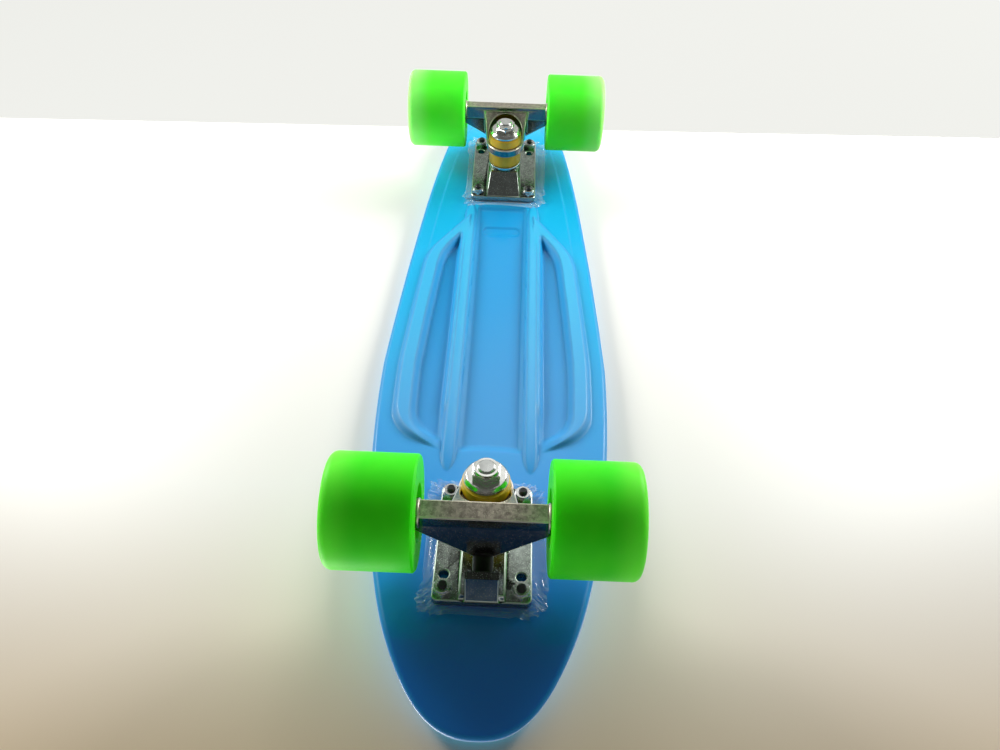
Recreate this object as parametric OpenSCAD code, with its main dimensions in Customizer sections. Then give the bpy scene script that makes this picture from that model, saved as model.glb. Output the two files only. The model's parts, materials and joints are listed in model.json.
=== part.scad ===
// Small moulded-plastic cruiser skateboard, standing on its wheels.
// X runs along the deck with the nose at +X, Y points to the rider's left, Z is up.
// The origin lies on the ground under the middle of the deck.
//
// Each truck is drawn in its own frame, whose origin is the middle of its bolt pattern on the
// underside of the deck: +X points to the middle of the board and +Z away from the deck.

/* [Deck] */
// Overall length of the deck
deck_len = 572.2; // [540:0.2:640]
// Overall width of the deck
deck_w = 151; // [130:0.2:190]
// Distance of the widest station behind the middle
widest_back = 38; // [20:1:90]
// Thickness of the moulding at the truck pads
deck_t = 10; // [8:0.5:14]
// Angle by which each truck pad leans towards the middle of the board
camber = 4; // [0.5:0.5:6]
// Upward slope of the tail
tail_kick = 14; // [6:1:22]
// Upward slope of the nose
nose_kick = 6; // [2:1:14]
// Radius of the bend into the tail
tail_bend_r = 80; // [60:5:110]
// Radius of the bend into the nose
nose_bend_r = 110; // [80:5:160]
// Width and depth of the step that eases the rim
rim_step = 1.8; // [1:0.1:2.4]
// Depth of the grip panel below the rim
grip_depth = 0.8; // [0.4:0.1:1.2]
// Width of the plain border around the grip panel
grip_border = 6; // [4:0.5:12]

/* [Underside relief] */
// Distance of each long rib from the centre line
rib_y = 25.3; // [21:0.1:28]
// Width of a long rib
rib_w = 9.3; // [8:0.1:13]
// Height of the long ribs above the truck pads
rib_h = 4; // [2:0.2:5]
// Overall length of the long ribs
rib_len = 265; // [200:1:268]
// Distance of the ribs' middle ahead of the trucks' middle
rib_ahead = 3.5; // [0:0.5:4]
// Height of the side loops above the truck pads
loop_h = 3.2; // [2:0.2:4]
// Width of the ridge that forms each side loop
loop_w = 12; // [8:0.5:14]
// Margin between the edge of the deck and a side loop
loop_margin = 12.5; // [11:0.5:18]
// Depth of the panels between the ribs below the truck pads
panel_depth = 2; // [1:0.2:2.6]

/* [Trucks] */
// Distance between the two bolt patterns
truck_span = 364.8; // [330:0.2:380]
// Distance of the trucks' middle behind the middle of the deck
truck_back = 1.8; // [-4:0.2:8]
// Length of a baseplate
plate_l = 76; // [74:0.5:84]
// Width of a baseplate
plate_w = 52.6; // [51:0.2:60]
// Thickness of a baseplate
plate_t = 4.65; // [4:0.05:6]
// Bolt spacing along the board
bolt_dx = 63.5; // [63:0.1:64]
// Bolt spacing across the board
bolt_dy = 41.3; // [40:0.1:42]
// Bolt spacing along the board with the spare pair of holes
spare_dx = 53.8; // [53:0.1:54]
// Distance of the kingpin from the middle of the bolt pattern, towards the middle of the board
king_x = 9.6; // [9:0.1:11]
// Height of the kingpin seat above the deck pad
seat_z = 18.5; // [17:0.1:19.5]
// Distance of the axle from the middle of the bolt pattern, towards the end of the board
axle_out = 16.4; // [15.5:0.1:17]
// Height of the axle below the deck pad
axle_z = 49.6; // [49:0.1:52]
// Height of the pivot mouth centre below the deck pad
pivot_z = 14.4; // [14:0.1:15]
// Distance of the pivot mouth centre from the middle of the bolt pattern
pivot_out = 26.5; // [26:0.1:27]
// Width of the hanger beam between the wheels
beam_w = 70; // [60:0.2:72]
// Side of the hanger beam's square section
beam_s = 10.4; // [10:0.1:12]
// Overall length of the hanger over its shoulders
hanger_w = 84.9; // [84.5:0.1:85]
// Outer radius of the ring around the kingpin
ring_r = 14.6; // [14:0.1:15.5]
// Thickness of that ring
ring_t = 6.4; // [6:0.1:7]

/* [Bushings and kingpin] */
// Radius of the kingpin
king_r = 4.76; // [4.5:0.01:5]
// Height of the lower bushing between its washer and the ring
low_bush_h = 13.3; // [12.5:0.1:14]
// Height of the upper bushing between the ring and its washer
top_bush_h = 9.3; // [8.5:0.1:10.5]
// Radius of the lower bushing
low_bush_r = 12.8; // [12:0.1:13.5]
// Radius of the upper bushing
top_bush_r = 13.2; // [12.4:0.1:13.6]
// Radius of the lower cup washer
low_cup_r = 12.9; // [12.4:0.1:13.4]
// Radius of the upper cup washer
top_cup_r = 12; // [11.4:0.1:12.4]
// Thickness of the washers' sheet
cup_t = 1.5; // [1.2:0.1:2]
// Width of the kingpin nut across its flats
king_nut_af = 14.3; // [13:0.1:15]
// Height of the kingpin nut
king_nut_h = 6.5; // [6:0.1:9]

/* [Wheels] */
// Diameter of a wheel
wheel_d = 59; // [54:0.5:62]
// Width of a wheel
wheel_w = 44.8; // [40:0.2:45]
// Radius of the rounded outer edge of a wheel
wheel_edge = 4; // [2:0.2:6]
// Radius of the recess at a wheel's faces
recess_r = 15; // [13.5:0.1:17]
// Diameter of the axle
axle_d = 8; // [7.8:0.1:8.2]
// Length of the axle
axle_len = 152; // [151:0.5:154]
// Width of the axle nut across its flats
axle_nut_af = 12.7; // [12:0.1:13.5]
// Height of the axle nut
axle_nut_h = 6; // [5.5:0.1:6.5]

/* [Bearings] */
// Outer diameter of a bearing
bearing_od = 22; // [22:0.1:22.6]
// Width of a bearing
bearing_w = 7; // [7:0.1:7.4]
// Distance between the two bearings of a wheel
spacer_l = 10; // [9:0.1:10.2]
// Diameter of a bearing ball
ball_d = 3.9; // [3.6:0.05:4]
// Balls in a bearing
ball_n = 7; // [6:1:7]
// Thickness of a washer beside a bearing
speed_t = 0.8; // [0.5:0.1:1]

/* [Fasteners] */
// Diameter of a deck bolt
bolt_d = 4.8; // [4.4:0.1:5]
// Diameter of a deck bolt's head
bolt_head_d = 9.4; // [8.8:0.1:10]
// Length that a deck bolt stands proud of its nut
bolt_proud = 2; // [1:0.1:4]
// Width of a deck nut across its flats
deck_nut_af = 9.5; // [9:0.1:10]
// Height of a deck nut
deck_nut_h = 4.5; // [4:0.1:6]
// Height of a deck bolt's countersunk head
bolt_head_h = 2.6; // [2.2:0.1:3]
// Thickness of the film under a baseplate
film_t = 0.35; // [0.2:0.05:0.5]
// Margin of the film around a baseplate
film_margin = 7; // [4:0.5:10]

/* [Clearances] */
// Radial gap of a bolt or kingpin in its hole
hole_gap = 0.3; // [0.2:0.05:0.4]
// Radial gap of the pivot nose in its cup
pivot_gap = 0.06; // [0.03:0.01:0.1]
// Gap between balls, races and cage
race_gap = 0.1; // [0.08:0.01:0.12]
// Gap around the upper washer and bushing in the hanger's yoke
yoke_gap = 1.2; // [1:0.1:1.6]

/* [Hidden] */

$fn = 96;
eps = 0.01;
far = 400;                       // longer than any cut needs

REAR = -1;
FRONT = 1;
LEFT = 1;
RIGHT = -1;

// Exponents of the deck's outline: [along, across] for its nose and tail ends.
NOSE_POWERS = [1.15, 3.6];
TAIL_POWERS = [2, 2.45];
outline_steps = 22;              // points along a quarter of the outline
bend_steps = 7;                  // facets along each bend of the deck

// Heights of the truck stack above the deck pad.
plate_top = film_t + plate_t;
low_cup_top = seat_z + cup_t;
ring_z0 = low_cup_top + low_bush_h;
ring_z1 = ring_z0 + ring_t;
top_cup_z = ring_z1 + top_bush_h;
nut_z = top_cup_z + cup_t;
king_top = nut_z + king_nut_h;
ring_mid = (ring_z0 + ring_z1) / 2;
low_lip = 1.6;                   // lip of the lower cup washer above its sheet
top_lip = 2;                     // skirt of the upper cup washer below its sheet
lip_t = 1.1;
ring_bore_r = king_r + 3.3;
spigot_r = ring_bore_r - hole_gap;

// Steering axis: from the pivot mouth up to the middle of the ring.
steer_run = king_x + pivot_out;
steer_rise = ring_mid - pivot_z;
steer_angle = atan2(steer_rise, steer_run);
nose_r = 5.5;
cup_wall = 1.4;
cup_depth = 5.5;
nose_depth = 4.6;
housing_r = 8.8;

wheel_r = wheel_d / 2;
axle_r = axle_d / 2;
bolt_r = bolt_d / 2;
pad_half = plate_l / 2 + film_margin;    // flat part of the deck on each side of a bolt pattern
mount_z = wheel_r + axle_z * cos(camber) + axle_out * sin(camber);
bearing_out = spacer_l / 2 + bearing_w;
wheel_y = hanger_w / 2 + speed_t + bearing_out;
wheel_in = wheel_y - wheel_w / 2;
ball_r = ball_d / 2;
pitch_r = (bearing_od / 2 + axle_r) / 2;
groove_r = ball_r + race_gap;
inner_land = pitch_r - 1.45;
outer_land = pitch_r + 1.5;
shield_t = 0.4;
shield_in = 0.3;
shield_z = bearing_w / 2 - shield_in - shield_t;
cage_half = 0.75;

// ---------------------------------------------------------------- placement

// Puts a piece drawn in a truck's frame on the board.
module on_truck(end) {
    translate([end * truck_span / 2 - truck_back, 0, mount_z])
        rotate([0, end * camber, 0])
            rotate(end == FRONT ? [0, 180, 0] : [180, 0, 0])
                children();
}

// Puts a piece drawn along Z on a truck's axle, with Z pointing to local +Y.
module on_axle(end) {
    on_truck(end)
        translate([-axle_out, 0, axle_z])
            rotate([-90, 0, 0])
                children();
}

// Puts a piece drawn around the middle of a wheel there, with Z pointing outwards.
module on_wheel(end, side) {
    on_truck(end)
        translate([-axle_out, side * end * wheel_y, axle_z])
            rotate([-90 * side * end, 0, 0])
                children();
}

// Puts a piece drawn along Z on the kingpin's axis.
module on_kingpin(end) {
    on_truck(end)
        translate([king_x, 0, 0])
            children();
}

// Turns a piece drawn along Z onto the steering axis, from the pivot mouth towards the ring.
module on_pivot() {
    translate([-pivot_out, 0, pivot_z])
        rotate([0, 90 - steer_angle, 0])
            children();
}

// Repeats a piece at a rectangle of four places.
module four(dx, dy) {
    for (sx = [-1, 1], sy = [-1, 1])
        translate([sx * dx / 2, sy * dy / 2, 0])
            children();
}

// Repeats a piece at both bearings of a wheel, mirrored about the wheel's middle.
module both_bearings() {
    for (s = [0, 1])
        mirror([0, 0, s])
            translate([0, 0, (spacer_l + bearing_w) / 2])
                children();
}

// ---------------------------------------------------------------- shared shapes

// Ring from one radius to another.
module tube(outer, inner, h) {
    difference() {
        cylinder(r = outer, h = h);
        translate([0, 0, -1])
            cylinder(r = inner, h = h + 2);
    }
}

// Side profile drawn in the truck's XZ plane and given a width along Y.
module slab_y(width, points) {
    rotate([90, 0, 0])
        translate([0, 0, -width / 2])
            linear_extrude(height = width)
                polygon(points);
}

// End profile drawn in the truck's YZ plane and given a stretch along X.
module slab_x(x0, x1, points) {
    translate([x0, 0, 0])
        rotate([90, 0, 90])
            linear_extrude(height = x1 - x0)
                polygon(points);
}

// Rectangle with round corners, made of exact solids.
module round_plate(l, w, h, r) {
    translate([-l / 2 + r, -w / 2, 0])
        cube([l - 2 * r, w, h]);
    translate([-l / 2, -w / 2 + r, 0])
        cube([l, w - 2 * r, h]);
    four(l - 2 * r, w - 2 * r)
        cylinder(r = r, h = h);
}

// Locking nut: a hexagon with a round collar, on a bolt of the given radius.
module lock_nut(af, h, r) {
    hex_h = 0.68 * h;
    difference() {
        union() {
            cylinder(r = af / sqrt(3), h = hex_h, $fn = 6);
            cylinder(r = 0.46 * af, h = h);
        }
        translate([0, 0, -1])
            cylinder(r = r, h = h + 2);
    }
}

// ---------------------------------------------------------------- deck

arch_r = (truck_span / 2 - pad_half * cos(camber)) / sin(camber);
arch_end = [arch_r * sin(camber), -arch_r * (1 - cos(camber))];
pad_end = arch_end + 2 * pad_half * [cos(camber), -sin(camber)];
deck_mid_z = mount_z + arch_r * (1 - cos(camber)) + pad_half * sin(camber);

// Stations of half the side profile from beside the middle outwards, as [x, z, slope].
function half_profile(kick, bend_r) =
    let (
        hub = pad_end + bend_r * [sin(camber), cos(camber)],
        turn = camber + kick,
        last = hub + bend_r * [sin(kick), -cos(kick)]
    )
    concat(
        [for (i = [1 : bend_steps]) let (a = camber * i / bend_steps)
            [arch_r * sin(a), -arch_r * (1 - cos(a)), -a]],
        [for (i = [0 : bend_steps]) let (a = -camber + turn * i / bend_steps)
            [hub[0] + bend_r * sin(a), hub[1] - bend_r * cos(a), a]],
        [[last[0] + 100 * cos(kick), last[1] + 100 * sin(kick), kick]]
    );

nose_path = half_profile(nose_kick, nose_bend_r);
tail_half = half_profile(tail_kick, tail_bend_r);
deck_path = concat(
    [for (s = reversed(tail_half)) [-s[0], s[1], -s[2]]],
    nose_path
);

// Points of the side profile at height t above the underside.
function lifted(t) = [for (s = deck_path) [s[0] - t * sin(s[2]), s[1] + t * cos(s[2])]];
function reversed(list) = [for (i = [len(list) - 1 : -1 : 0]) list[i]];

// The deck's body is drawn about the trucks' middle and moved to its place at the end.

// Layer that follows the bends of the deck between two heights above its underside.
module layer(t0, t1) {
    translate([0, 0, deck_mid_z])
        slab_y(2 * deck_w, concat(lifted(t0), reversed(lifted(t1))));
}

// Quarter of the deck's outline with the given margin, from its widest station to the tip.
function quarter(reach, powers, margin) =
    [for (i = [0 : outline_steps]) let (u = sin(90 * i / outline_steps))
        [(reach - margin) * u, (deck_w / 2 - margin) * pow(1 - pow(u, powers[0]), 1 / powers[1])]];

function deck_outline(margin) =
    let (
        nose = quarter(deck_len / 2 + widest_back, NOSE_POWERS, margin),
        tail = quarter(deck_len / 2 - widest_back, TAIL_POWERS, margin)
    )
    concat(
        [for (p = nose) [p[0], p[1]]],
        [for (p = reversed(nose)) if (p[1] > 0) [p[0], -p[1]]],
        [for (p = tail) if (p[0] > 0) [-p[0], -p[1]]],
        [for (p = reversed(tail)) if (p[1] > 0 && p[0] > 0) [-p[0], p[1]]]
    );

// Upright prism of the deck's outline with the given margin.
module outline_prism(margin) {
    translate([truck_back - widest_back, 0, 0])
        linear_extrude(height = far)
            polygon(deck_outline(margin));
}

// Prism over the side loops: the outline cut off by slanted ends, tail end first.
module loop_prism(margin, tail_cut, nose_cut) {
    intersection() {
        outline_prism(margin);
        linear_extrude(height = far)
            polygon([
                [-tail_cut, -rib_y], [-tail_cut, rib_y],
                [-tail_cut + 15, rib_y + 34], [-tail_cut + 40, deck_w / 2],
                [nose_cut - 90, deck_w / 2], [nose_cut - 38, rib_y + 25],
                [nose_cut, rib_y], [nose_cut, -rib_y],
                [nose_cut - 38, -rib_y - 25], [nose_cut - 90, -deck_w / 2],
                [-tail_cut + 40, -deck_w / 2], [-tail_cut + 15, -rib_y - 34]
            ]);
    }
}

loop_tail = 115;                 // reach of the side loops towards the tail
loop_nose = 126;                 // and towards the nose
loop_nose_w = 17;                // ridge at the nose end, measured along the board
panel_gap = 2;                   // between the middle panel and the front truck's pad

// Ridge around both side panels.
module side_loops() {
    intersection() {
        layer(-loop_h, panel_depth + 1);
        difference() {
            loop_prism(loop_margin, loop_tail, loop_nose);
            loop_prism(loop_margin + loop_w, loop_tail - loop_w, loop_nose - loop_nose_w);
        }
    }
}

// Two long ribs with round ends.
module long_ribs() {
    straight = rib_len - rib_w;
    intersection() {
        layer(-rib_h, panel_depth + 1);
        for (s = [-1, 1])
            translate([rib_ahead, s * rib_y, 0]) {
                translate([-straight / 2, -rib_w / 2, 0])
                    cube([straight, rib_w, far]);
                for (e = [-1, 1])
                    translate([e * straight / 2, 0, 0])
                        cylinder(d = rib_w, h = far);
            }
    }
}

// Shallow panels: one between the ribs, which runs on to the front truck, and one in each loop.
module panels() {
    pad_x = truck_span / 2 - pad_half;
    intersection() {
        layer(-rib_h - 1, panel_depth);
        union() {
            loop_prism(loop_margin + loop_w / 2, loop_tail - loop_w / 2, loop_nose - loop_nose_w / 2);
            translate([0, -rib_y, 0])
                cube([pad_x - panel_gap, 2 * rib_y, far]);
        }
    }
}

// Plain moulded recess at the nose end of the middle panel.
module nose_mark() {
    mark_x = 110;
    mark_w = 30;
    mark_d = 10;
    intersection() {
        layer(panel_depth - 1, panel_depth + 0.8);
        translate([mark_x, 0, 0]) {
            translate([-mark_d / 2, -(mark_w - mark_d) / 2, 0])
                cube([mark_d, mark_w - mark_d, far]);
            for (s = [-1, 1])
                translate([0, s * (mark_w - mark_d) / 2, 0])
                    cylinder(d = mark_d, h = far);
        }
    }
}

// Bolt holes with countersinks for the heads.
module deck_holes() {
    for (end = [REAR, FRONT])
        on_truck(end)
            four(bolt_dx, bolt_dy) {
                translate([0, 0, -deck_t - 5])
                    cylinder(r = bolt_r + hole_gap, h = deck_t + 10);
                translate([0, 0, grip_depth - deck_t])
                    bolt_cone();
                translate([0, 0, grip_depth - deck_t - 5])
                    cylinder(r = bolt_head_d / 2, h = 5);
            }
}

// Countersunk cone of a bolt's head, which narrows away from the top of the deck.
module bolt_cone() {
    cylinder(r1 = bolt_head_d / 2, r2 = bolt_r, h = bolt_head_h);
}

module deck_moulding() {
    difference() {
        union() {
            difference() {
                union() {
                    intersection() {
                        layer(rim_step, deck_t - rim_step);
                        outline_prism(0);
                    }
                    intersection() {
                        layer(0, deck_t);
                        outline_prism(rim_step);
                    }
                }
                panels();
            }
            side_loops();
            long_ribs();
        }
        intersection() {
            layer(deck_t - grip_depth, deck_t + 5);
            outline_prism(grip_border);
        }
        nose_mark();
    }
}

module deck() {
    color("DodgerBlue")
        difference() {
            translate([-truck_back, 0, 0])
                deck_moulding();
            deck_holes();
        }
}

// ---------------------------------------------------------------- fixed half of a truck

spine_h = 3;                     // height of the baseplate's spine above the plate
spine_w = 24;
boss_top_w = 22;
boss_foot_w = 27.4;
head_h = 5.5;                    // height of the kingpin's hexagonal head
head_af = 14.2;

// Raised seat of the kingpin, which slopes down to the plate's inner end.
module kingpin_boss() {
    foot = plate_top - 1;
    intersection() {
        slab_y(2 * plate_w, [
            [king_x - 16, foot], [king_x - low_cup_r, seat_z], [king_x + low_cup_r, seat_z],
            [plate_l / 2 - 1, plate_top], [plate_l / 2 - 1, foot]
        ]);
        slab_x(-plate_l, plate_l, [
            [-boss_foot_w / 2, foot], [-boss_top_w / 2, seat_z + eps],
            [boss_top_w / 2, seat_z + eps], [boss_foot_w / 2, foot]
        ]);
    }
    translate([king_x, 0, foot])
        cylinder(r = low_cup_r, h = seat_z - foot);
}

// Block around the pivot cup, with a sloping outer wall.
module pivot_housing() {
    lean = [cos(90 + steer_angle), sin(90 + steer_angle)];
    mouth = [-pivot_out, pivot_z];
    upper = mouth + housing_r * lean;
    lower = mouth - housing_r * lean;
    slab_y(2 * housing_r, [
        [-plate_l / 2, plate_top - 1], [upper[0] - 4.4, upper[1]], upper, lower,
        [lower[0], plate_top - 1]
    ]);
}

module baseplate(end) {
    bore_r = nose_r + pivot_gap + cup_wall;
    color("Silver")
        on_truck(end)
            difference() {
                union() {
                    translate([0, 0, film_t])
                        round_plate(plate_l, plate_w, plate_t, 3.5);
                    slab_y(spine_w, [
                        [-plate_l / 2 + 1, plate_top - 1], [-plate_l / 2 + 2, plate_top + spine_h],
                        [king_x, plate_top + spine_h], [king_x, plate_top - 1]
                    ]);
                    kingpin_boss();
                    pivot_housing();
                }
                translate([0, 0, -1])
                    four(bolt_dx, bolt_dy)
                        cylinder(r = bolt_r + hole_gap, h = far);
                translate([-spare_dx + bolt_dx / 2, 0, -1])
                    for (s = [-1, 1])
                        translate([0, s * bolt_dy / 2, 0])
                            cylinder(r = bolt_r + hole_gap, h = far);
                translate([king_x, 0, -1])
                    cylinder(r = king_r + hole_gap, h = far);
                translate([king_x, 0, -1])
                    cylinder(r = head_af / sqrt(3) + hole_gap, h = 1 + film_t + head_h, $fn = 6);
                on_pivot()
                    translate([0, 0, -cup_depth])
                        cylinder(r = bore_r, h = 30);
            }
}

module pivot_cup(end) {
    color("DimGray")
        on_truck(end)
            on_pivot()
                difference() {
                    translate([0, 0, -cup_depth])
                        cylinder(r = nose_r + pivot_gap + cup_wall, h = cup_depth + 0.6);
                    translate([0, 0, -nose_depth - 0.2])
                        cylinder(r = nose_r + pivot_gap, h = 30);
                }
}

module kingpin(end) {
    color("LightGray")
        on_kingpin(end) {
            translate([0, 0, film_t])
                cylinder(r = head_af / sqrt(3), h = head_h, $fn = 6);
            translate([0, 0, film_t])
                cylinder(r = king_r, h = king_top - film_t - 0.6);
            translate([0, 0, king_top - 0.6 - eps])
                cylinder(r1 = king_r, r2 = king_r - 0.8, h = 0.8);
        }
}

module lower_washer(end) {
    color("Gainsboro")
        on_kingpin(end)
            translate([0, 0, seat_z])
                rotate_extrude()
                    polygon([
                        [king_r + hole_gap, 0], [low_cup_r - 1, 0], [low_cup_r, 1],
                        [low_cup_r, cup_t + low_lip], [low_cup_r - lip_t, cup_t + low_lip],
                        [low_cup_r - lip_t, cup_t], [king_r + hole_gap, cup_t]
                    ]);
}

module lower_bushing(end) {
    foot_r = low_cup_r - lip_t - 0.1;
    color("GoldenRod")
        on_kingpin(end)
            translate([0, 0, low_cup_top])
                rotate_extrude()
                    polygon([
                        [king_r, 0], [foot_r, 0], [foot_r, low_lip],
                        [low_bush_r, low_lip + 1.2], [low_bush_r, low_bush_h - 1.2],
                        [low_bush_r - 0.8, low_bush_h], [spigot_r, low_bush_h],
                        [spigot_r, low_bush_h + ring_t / 2 - 0.2], [king_r, low_bush_h + ring_t / 2 - 0.2]
                    ]);
}

module upper_bushing(end) {
    head_r = top_cup_r - lip_t - 0.1;
    color("GoldenRod")
        on_kingpin(end)
            translate([0, 0, ring_z1])
                rotate_extrude()
                    polygon([
                        [king_r, -ring_t / 2 + 0.2], [spigot_r, -ring_t / 2 + 0.2], [spigot_r, 0],
                        [top_bush_r - 0.8, 0], [top_bush_r, 0.8],
                        [top_bush_r - 0.5, top_bush_h - top_lip - 0.8],
                        [head_r, top_bush_h - top_lip], [head_r, top_bush_h], [king_r, top_bush_h]
                    ]);
}

module upper_washer(end) {
    color("Gainsboro")
        on_kingpin(end)
            translate([0, 0, top_cup_z])
                rotate_extrude()
                    polygon([
                        [king_r + hole_gap, 0], [top_cup_r - lip_t, 0], [top_cup_r - lip_t, -top_lip],
                        [top_cup_r, -top_lip], [top_cup_r, -0.4], [top_cup_r - 1.6, cup_t],
                        [king_r + hole_gap, cup_t]
                    ]);
}

module kingpin_nut(end) {
    color("Gainsboro")
        on_kingpin(end)
            translate([0, 0, nut_z])
                lock_nut(king_nut_af, king_nut_h - 0.8, king_r);
}

module film(end) {
    color("AliceBlue", 0.5)
        on_truck(end)
            difference() {
                round_plate(plate_l + 2 * film_margin, plate_w + 2 * film_margin, film_t, 5);
                translate([0, 0, -1])
                    four(bolt_dx, bolt_dy)
                        cylinder(r = bolt_r + hole_gap, h = far);
            }
}

module deck_bolts(end) {
    head_top = -deck_t + grip_depth;
    tip = plate_top + deck_nut_h + bolt_proud;
    color("DimGray")
        on_truck(end)
            four(bolt_dx, bolt_dy)
                difference() {
                    union() {
                        translate([0, 0, head_top])
                            bolt_cone();
                        translate([0, 0, head_top])
                            cylinder(r = bolt_r, h = tip - head_top - 0.8);
                        translate([0, 0, tip - 0.8 - eps])
                            cylinder(r1 = bolt_r, r2 = bolt_r - 0.7, h = 0.8);
                    }
                    for (turn = [0, 90])
                        rotate([0, 0, turn])
                            translate([-2.6, -0.6, head_top - 1])
                                cube([5.2, 1.2, 2.4]);
                }
}

module deck_nuts(end) {
    color("Silver")
        on_truck(end)
            translate([0, 0, plate_top])
                four(bolt_dx, bolt_dy)
                    lock_nut(deck_nut_af, deck_nut_h, bolt_r);
}

// ---------------------------------------------------------------- hanger and axle

beam_tilt = 11;
arm_root_w = 37;                 // width of the yoke's arms where they leave the beam
web_drop = 3;                    // straight end of the web below the beam
neck_w = 13;
shoulder_r = 7.6;
shoulder_in = 3;                 // how far the shoulders reach into the beam
beam_wall = 0.8;                 // how far the yoke's cavity stays clear of the beam

module hanger(end) {
    beam_in = -axle_out + beam_s / 2;
    beam_out = -axle_out - beam_s / 2;
    yoke_r = max(top_cup_r, top_bush_r - 1.2) + yoke_gap;
    nose_low = nose_r * [sin(steer_angle), -cos(steer_angle)];
    nose_up = -nose_low;
    root = [-pivot_out, pivot_z] + 9 * [cos(steer_angle), sin(steer_angle)];
    web_low = root + nose_up + [-1, 0];
    web_top = axle_z - beam_s / 2 - web_drop;
    clear_x = king_x - low_cup_r - 2;
    color("Silver")
        on_truck(end)
            difference() {
                union() {
                    translate([-axle_out, 0, axle_z])
                        rotate([0, -beam_tilt, 0])
                            translate([-beam_s / 2, -beam_w / 2, -beam_s / 2])
                                cube([beam_s, beam_w, beam_s]);
                    intersection() {
                        slab_x(beam_out - beam_s, beam_in, [
                            [-beam_w / 2, axle_z], [beam_w / 2, axle_z],
                            [beam_w / 2, web_top], [neck_w / 2, web_low[1]],
                            [-neck_w / 2, web_low[1]], [-beam_w / 2, web_top]
                        ]);
                        slab_y(2 * beam_w, [
                            [beam_out + 1, axle_z], [beam_in, axle_z], [beam_in, web_low[1] - 1],
                            web_low + [0, -1], web_low
                        ]);
                    }
                    intersection() {
                        slab_y(2 * arm_root_w, [
                            [beam_out + 1, axle_z], [beam_in, axle_z + 2.6], [king_x, ring_z1],
                            [king_x, ring_z0], [clear_x - 4, ring_z0], [beam_out + 1, ring_z0 + 6]
                        ]);
                        linear_extrude(height = far)
                            polygon([
                                [beam_out, -arm_root_w / 2], [king_x + 1, -ring_r],
                                [king_x + 1, ring_r], [beam_out, arm_root_w / 2]
                            ]);
                    }
                    slab_y(neck_w, [
                        root + nose_low, [clear_x, ring_z0 + 1], [clear_x - 4, ring_z0 + 4],
                        [beam_out + 1, ring_z0 + 6], web_low
                    ]);
                    translate([king_x, 0, ring_z0])
                        cylinder(r = ring_r, h = ring_t);
                    on_pivot() {
                        translate([0, 0, 1.4 - nose_depth])
                            cylinder(r = nose_r, h = 14);
                        translate([0, 0, -nose_depth])
                            cylinder(r1 = nose_r - 1.2, r2 = nose_r, h = 1.4 + eps);
                    }
                    for (s = [-1, 1])
                        translate([-axle_out, s * hanger_w / 2, axle_z])
                            rotate([s * 90, 0, 0])
                                cylinder(r = shoulder_r, h = (hanger_w - beam_w) / 2 + shoulder_in);
                }
                for (x = [king_x - 1, beam_in + beam_wall + yoke_r])
                    translate([x, 0, ring_z1])
                        cylinder(r = yoke_r, h = 30);
                translate([king_x, 0, ring_z0 - 1])
                    cylinder(r = ring_bore_r, h = ring_t + 2);
                translate([-axle_out, 0, axle_z])
                    rotate([90, 0, 0])
                        cylinder(r = axle_r, h = far, center = true);
            }
}

module axle(end) {
    thread = 0.8;
    color("LightGray")
        on_axle(end) {
            translate([0, 0, -axle_len / 2 + thread])
                cylinder(r = axle_r, h = axle_len - 2 * thread);
            for (s = [0, 1])
                mirror([0, 0, s])
                    translate([0, 0, axle_len / 2 - thread - eps])
                        cylinder(r1 = axle_r, r2 = axle_r - thread, h = thread);
        }
}

// Repeats a piece on both ends of an axle, with Z pointing outwards from the given distance.
module both_ends(end, start) {
    on_axle(end)
        for (s = [0, 1])
            mirror([0, 0, s])
                translate([0, 0, start])
                    children();
}

module axle_nuts(end) {
    color("Gainsboro")
        both_ends(end, wheel_y + bearing_out + speed_t)
            lock_nut(axle_nut_af, axle_nut_h, axle_r);
}

module speed_washers(end) {
    color("Gainsboro") {
        both_ends(end, hanger_w / 2)
            tube(inner_land - 0.1, axle_r, speed_t);
        both_ends(end, wheel_y + bearing_out)
            tube(inner_land - 0.1, axle_r, speed_t);
    }
}

module spacers(end) {
    color("Silver")
        both_ends(end, wheel_y - spacer_l / 2)
            tube(inner_land - 0.1, axle_r, spacer_l);
}

// ---------------------------------------------------------------- bearings

// Groove that the balls run in.
module race() {
    rotate_extrude()
        translate([pitch_r, 0])
            circle(r = groove_r);
}

module inner_ring() {
    difference() {
        translate([0, 0, -bearing_w / 2])
            tube(inner_land, axle_r, bearing_w);
        race();
    }
}

module outer_ring() {
    difference() {
        translate([0, 0, -bearing_w / 2])
            tube(bearing_od / 2, outer_land, bearing_w);
        race();
    }
}

module shields_of_bearing() {
    for (s = [0, 1])
        mirror([0, 0, s])
            translate([0, 0, shield_z])
                tube(outer_land, inner_land + 0.35, shield_t);
}

// Crown cage: a ring with open pockets around the balls.
module cage_of_bearing() {
    difference() {
        translate([0, 0, -1])
            tube(pitch_r + cage_half, pitch_r - cage_half, 1 + shield_z - 0.25);
        for (i = [0 : ball_n - 1])
            rotate([0, 0, 360 * i / ball_n])
                translate([pitch_r, 0, 0])
                    sphere(r = groove_r);
    }
}

module balls_of_bearing() {
    for (i = [0 : ball_n - 1])
        rotate([0, 0, 360 * i / ball_n])
            translate([pitch_r, 0, 0])
                sphere(d = ball_d);
}

module inner_rings(end) {
    color("LightGray")
        for (side = [LEFT, RIGHT])
            on_wheel(end, side)
                both_bearings()
                    inner_ring();
}

module outer_rings(end, side) {
    color("LightGray")
        on_wheel(end, side)
            both_bearings()
                outer_ring();
}

module shields(end, side) {
    color("Silver")
        on_wheel(end, side)
            both_bearings()
                shields_of_bearing();
}

module balls(end, side) {
    color("WhiteSmoke")
        on_wheel(end, side)
            both_bearings()
                balls_of_bearing();
}

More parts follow.
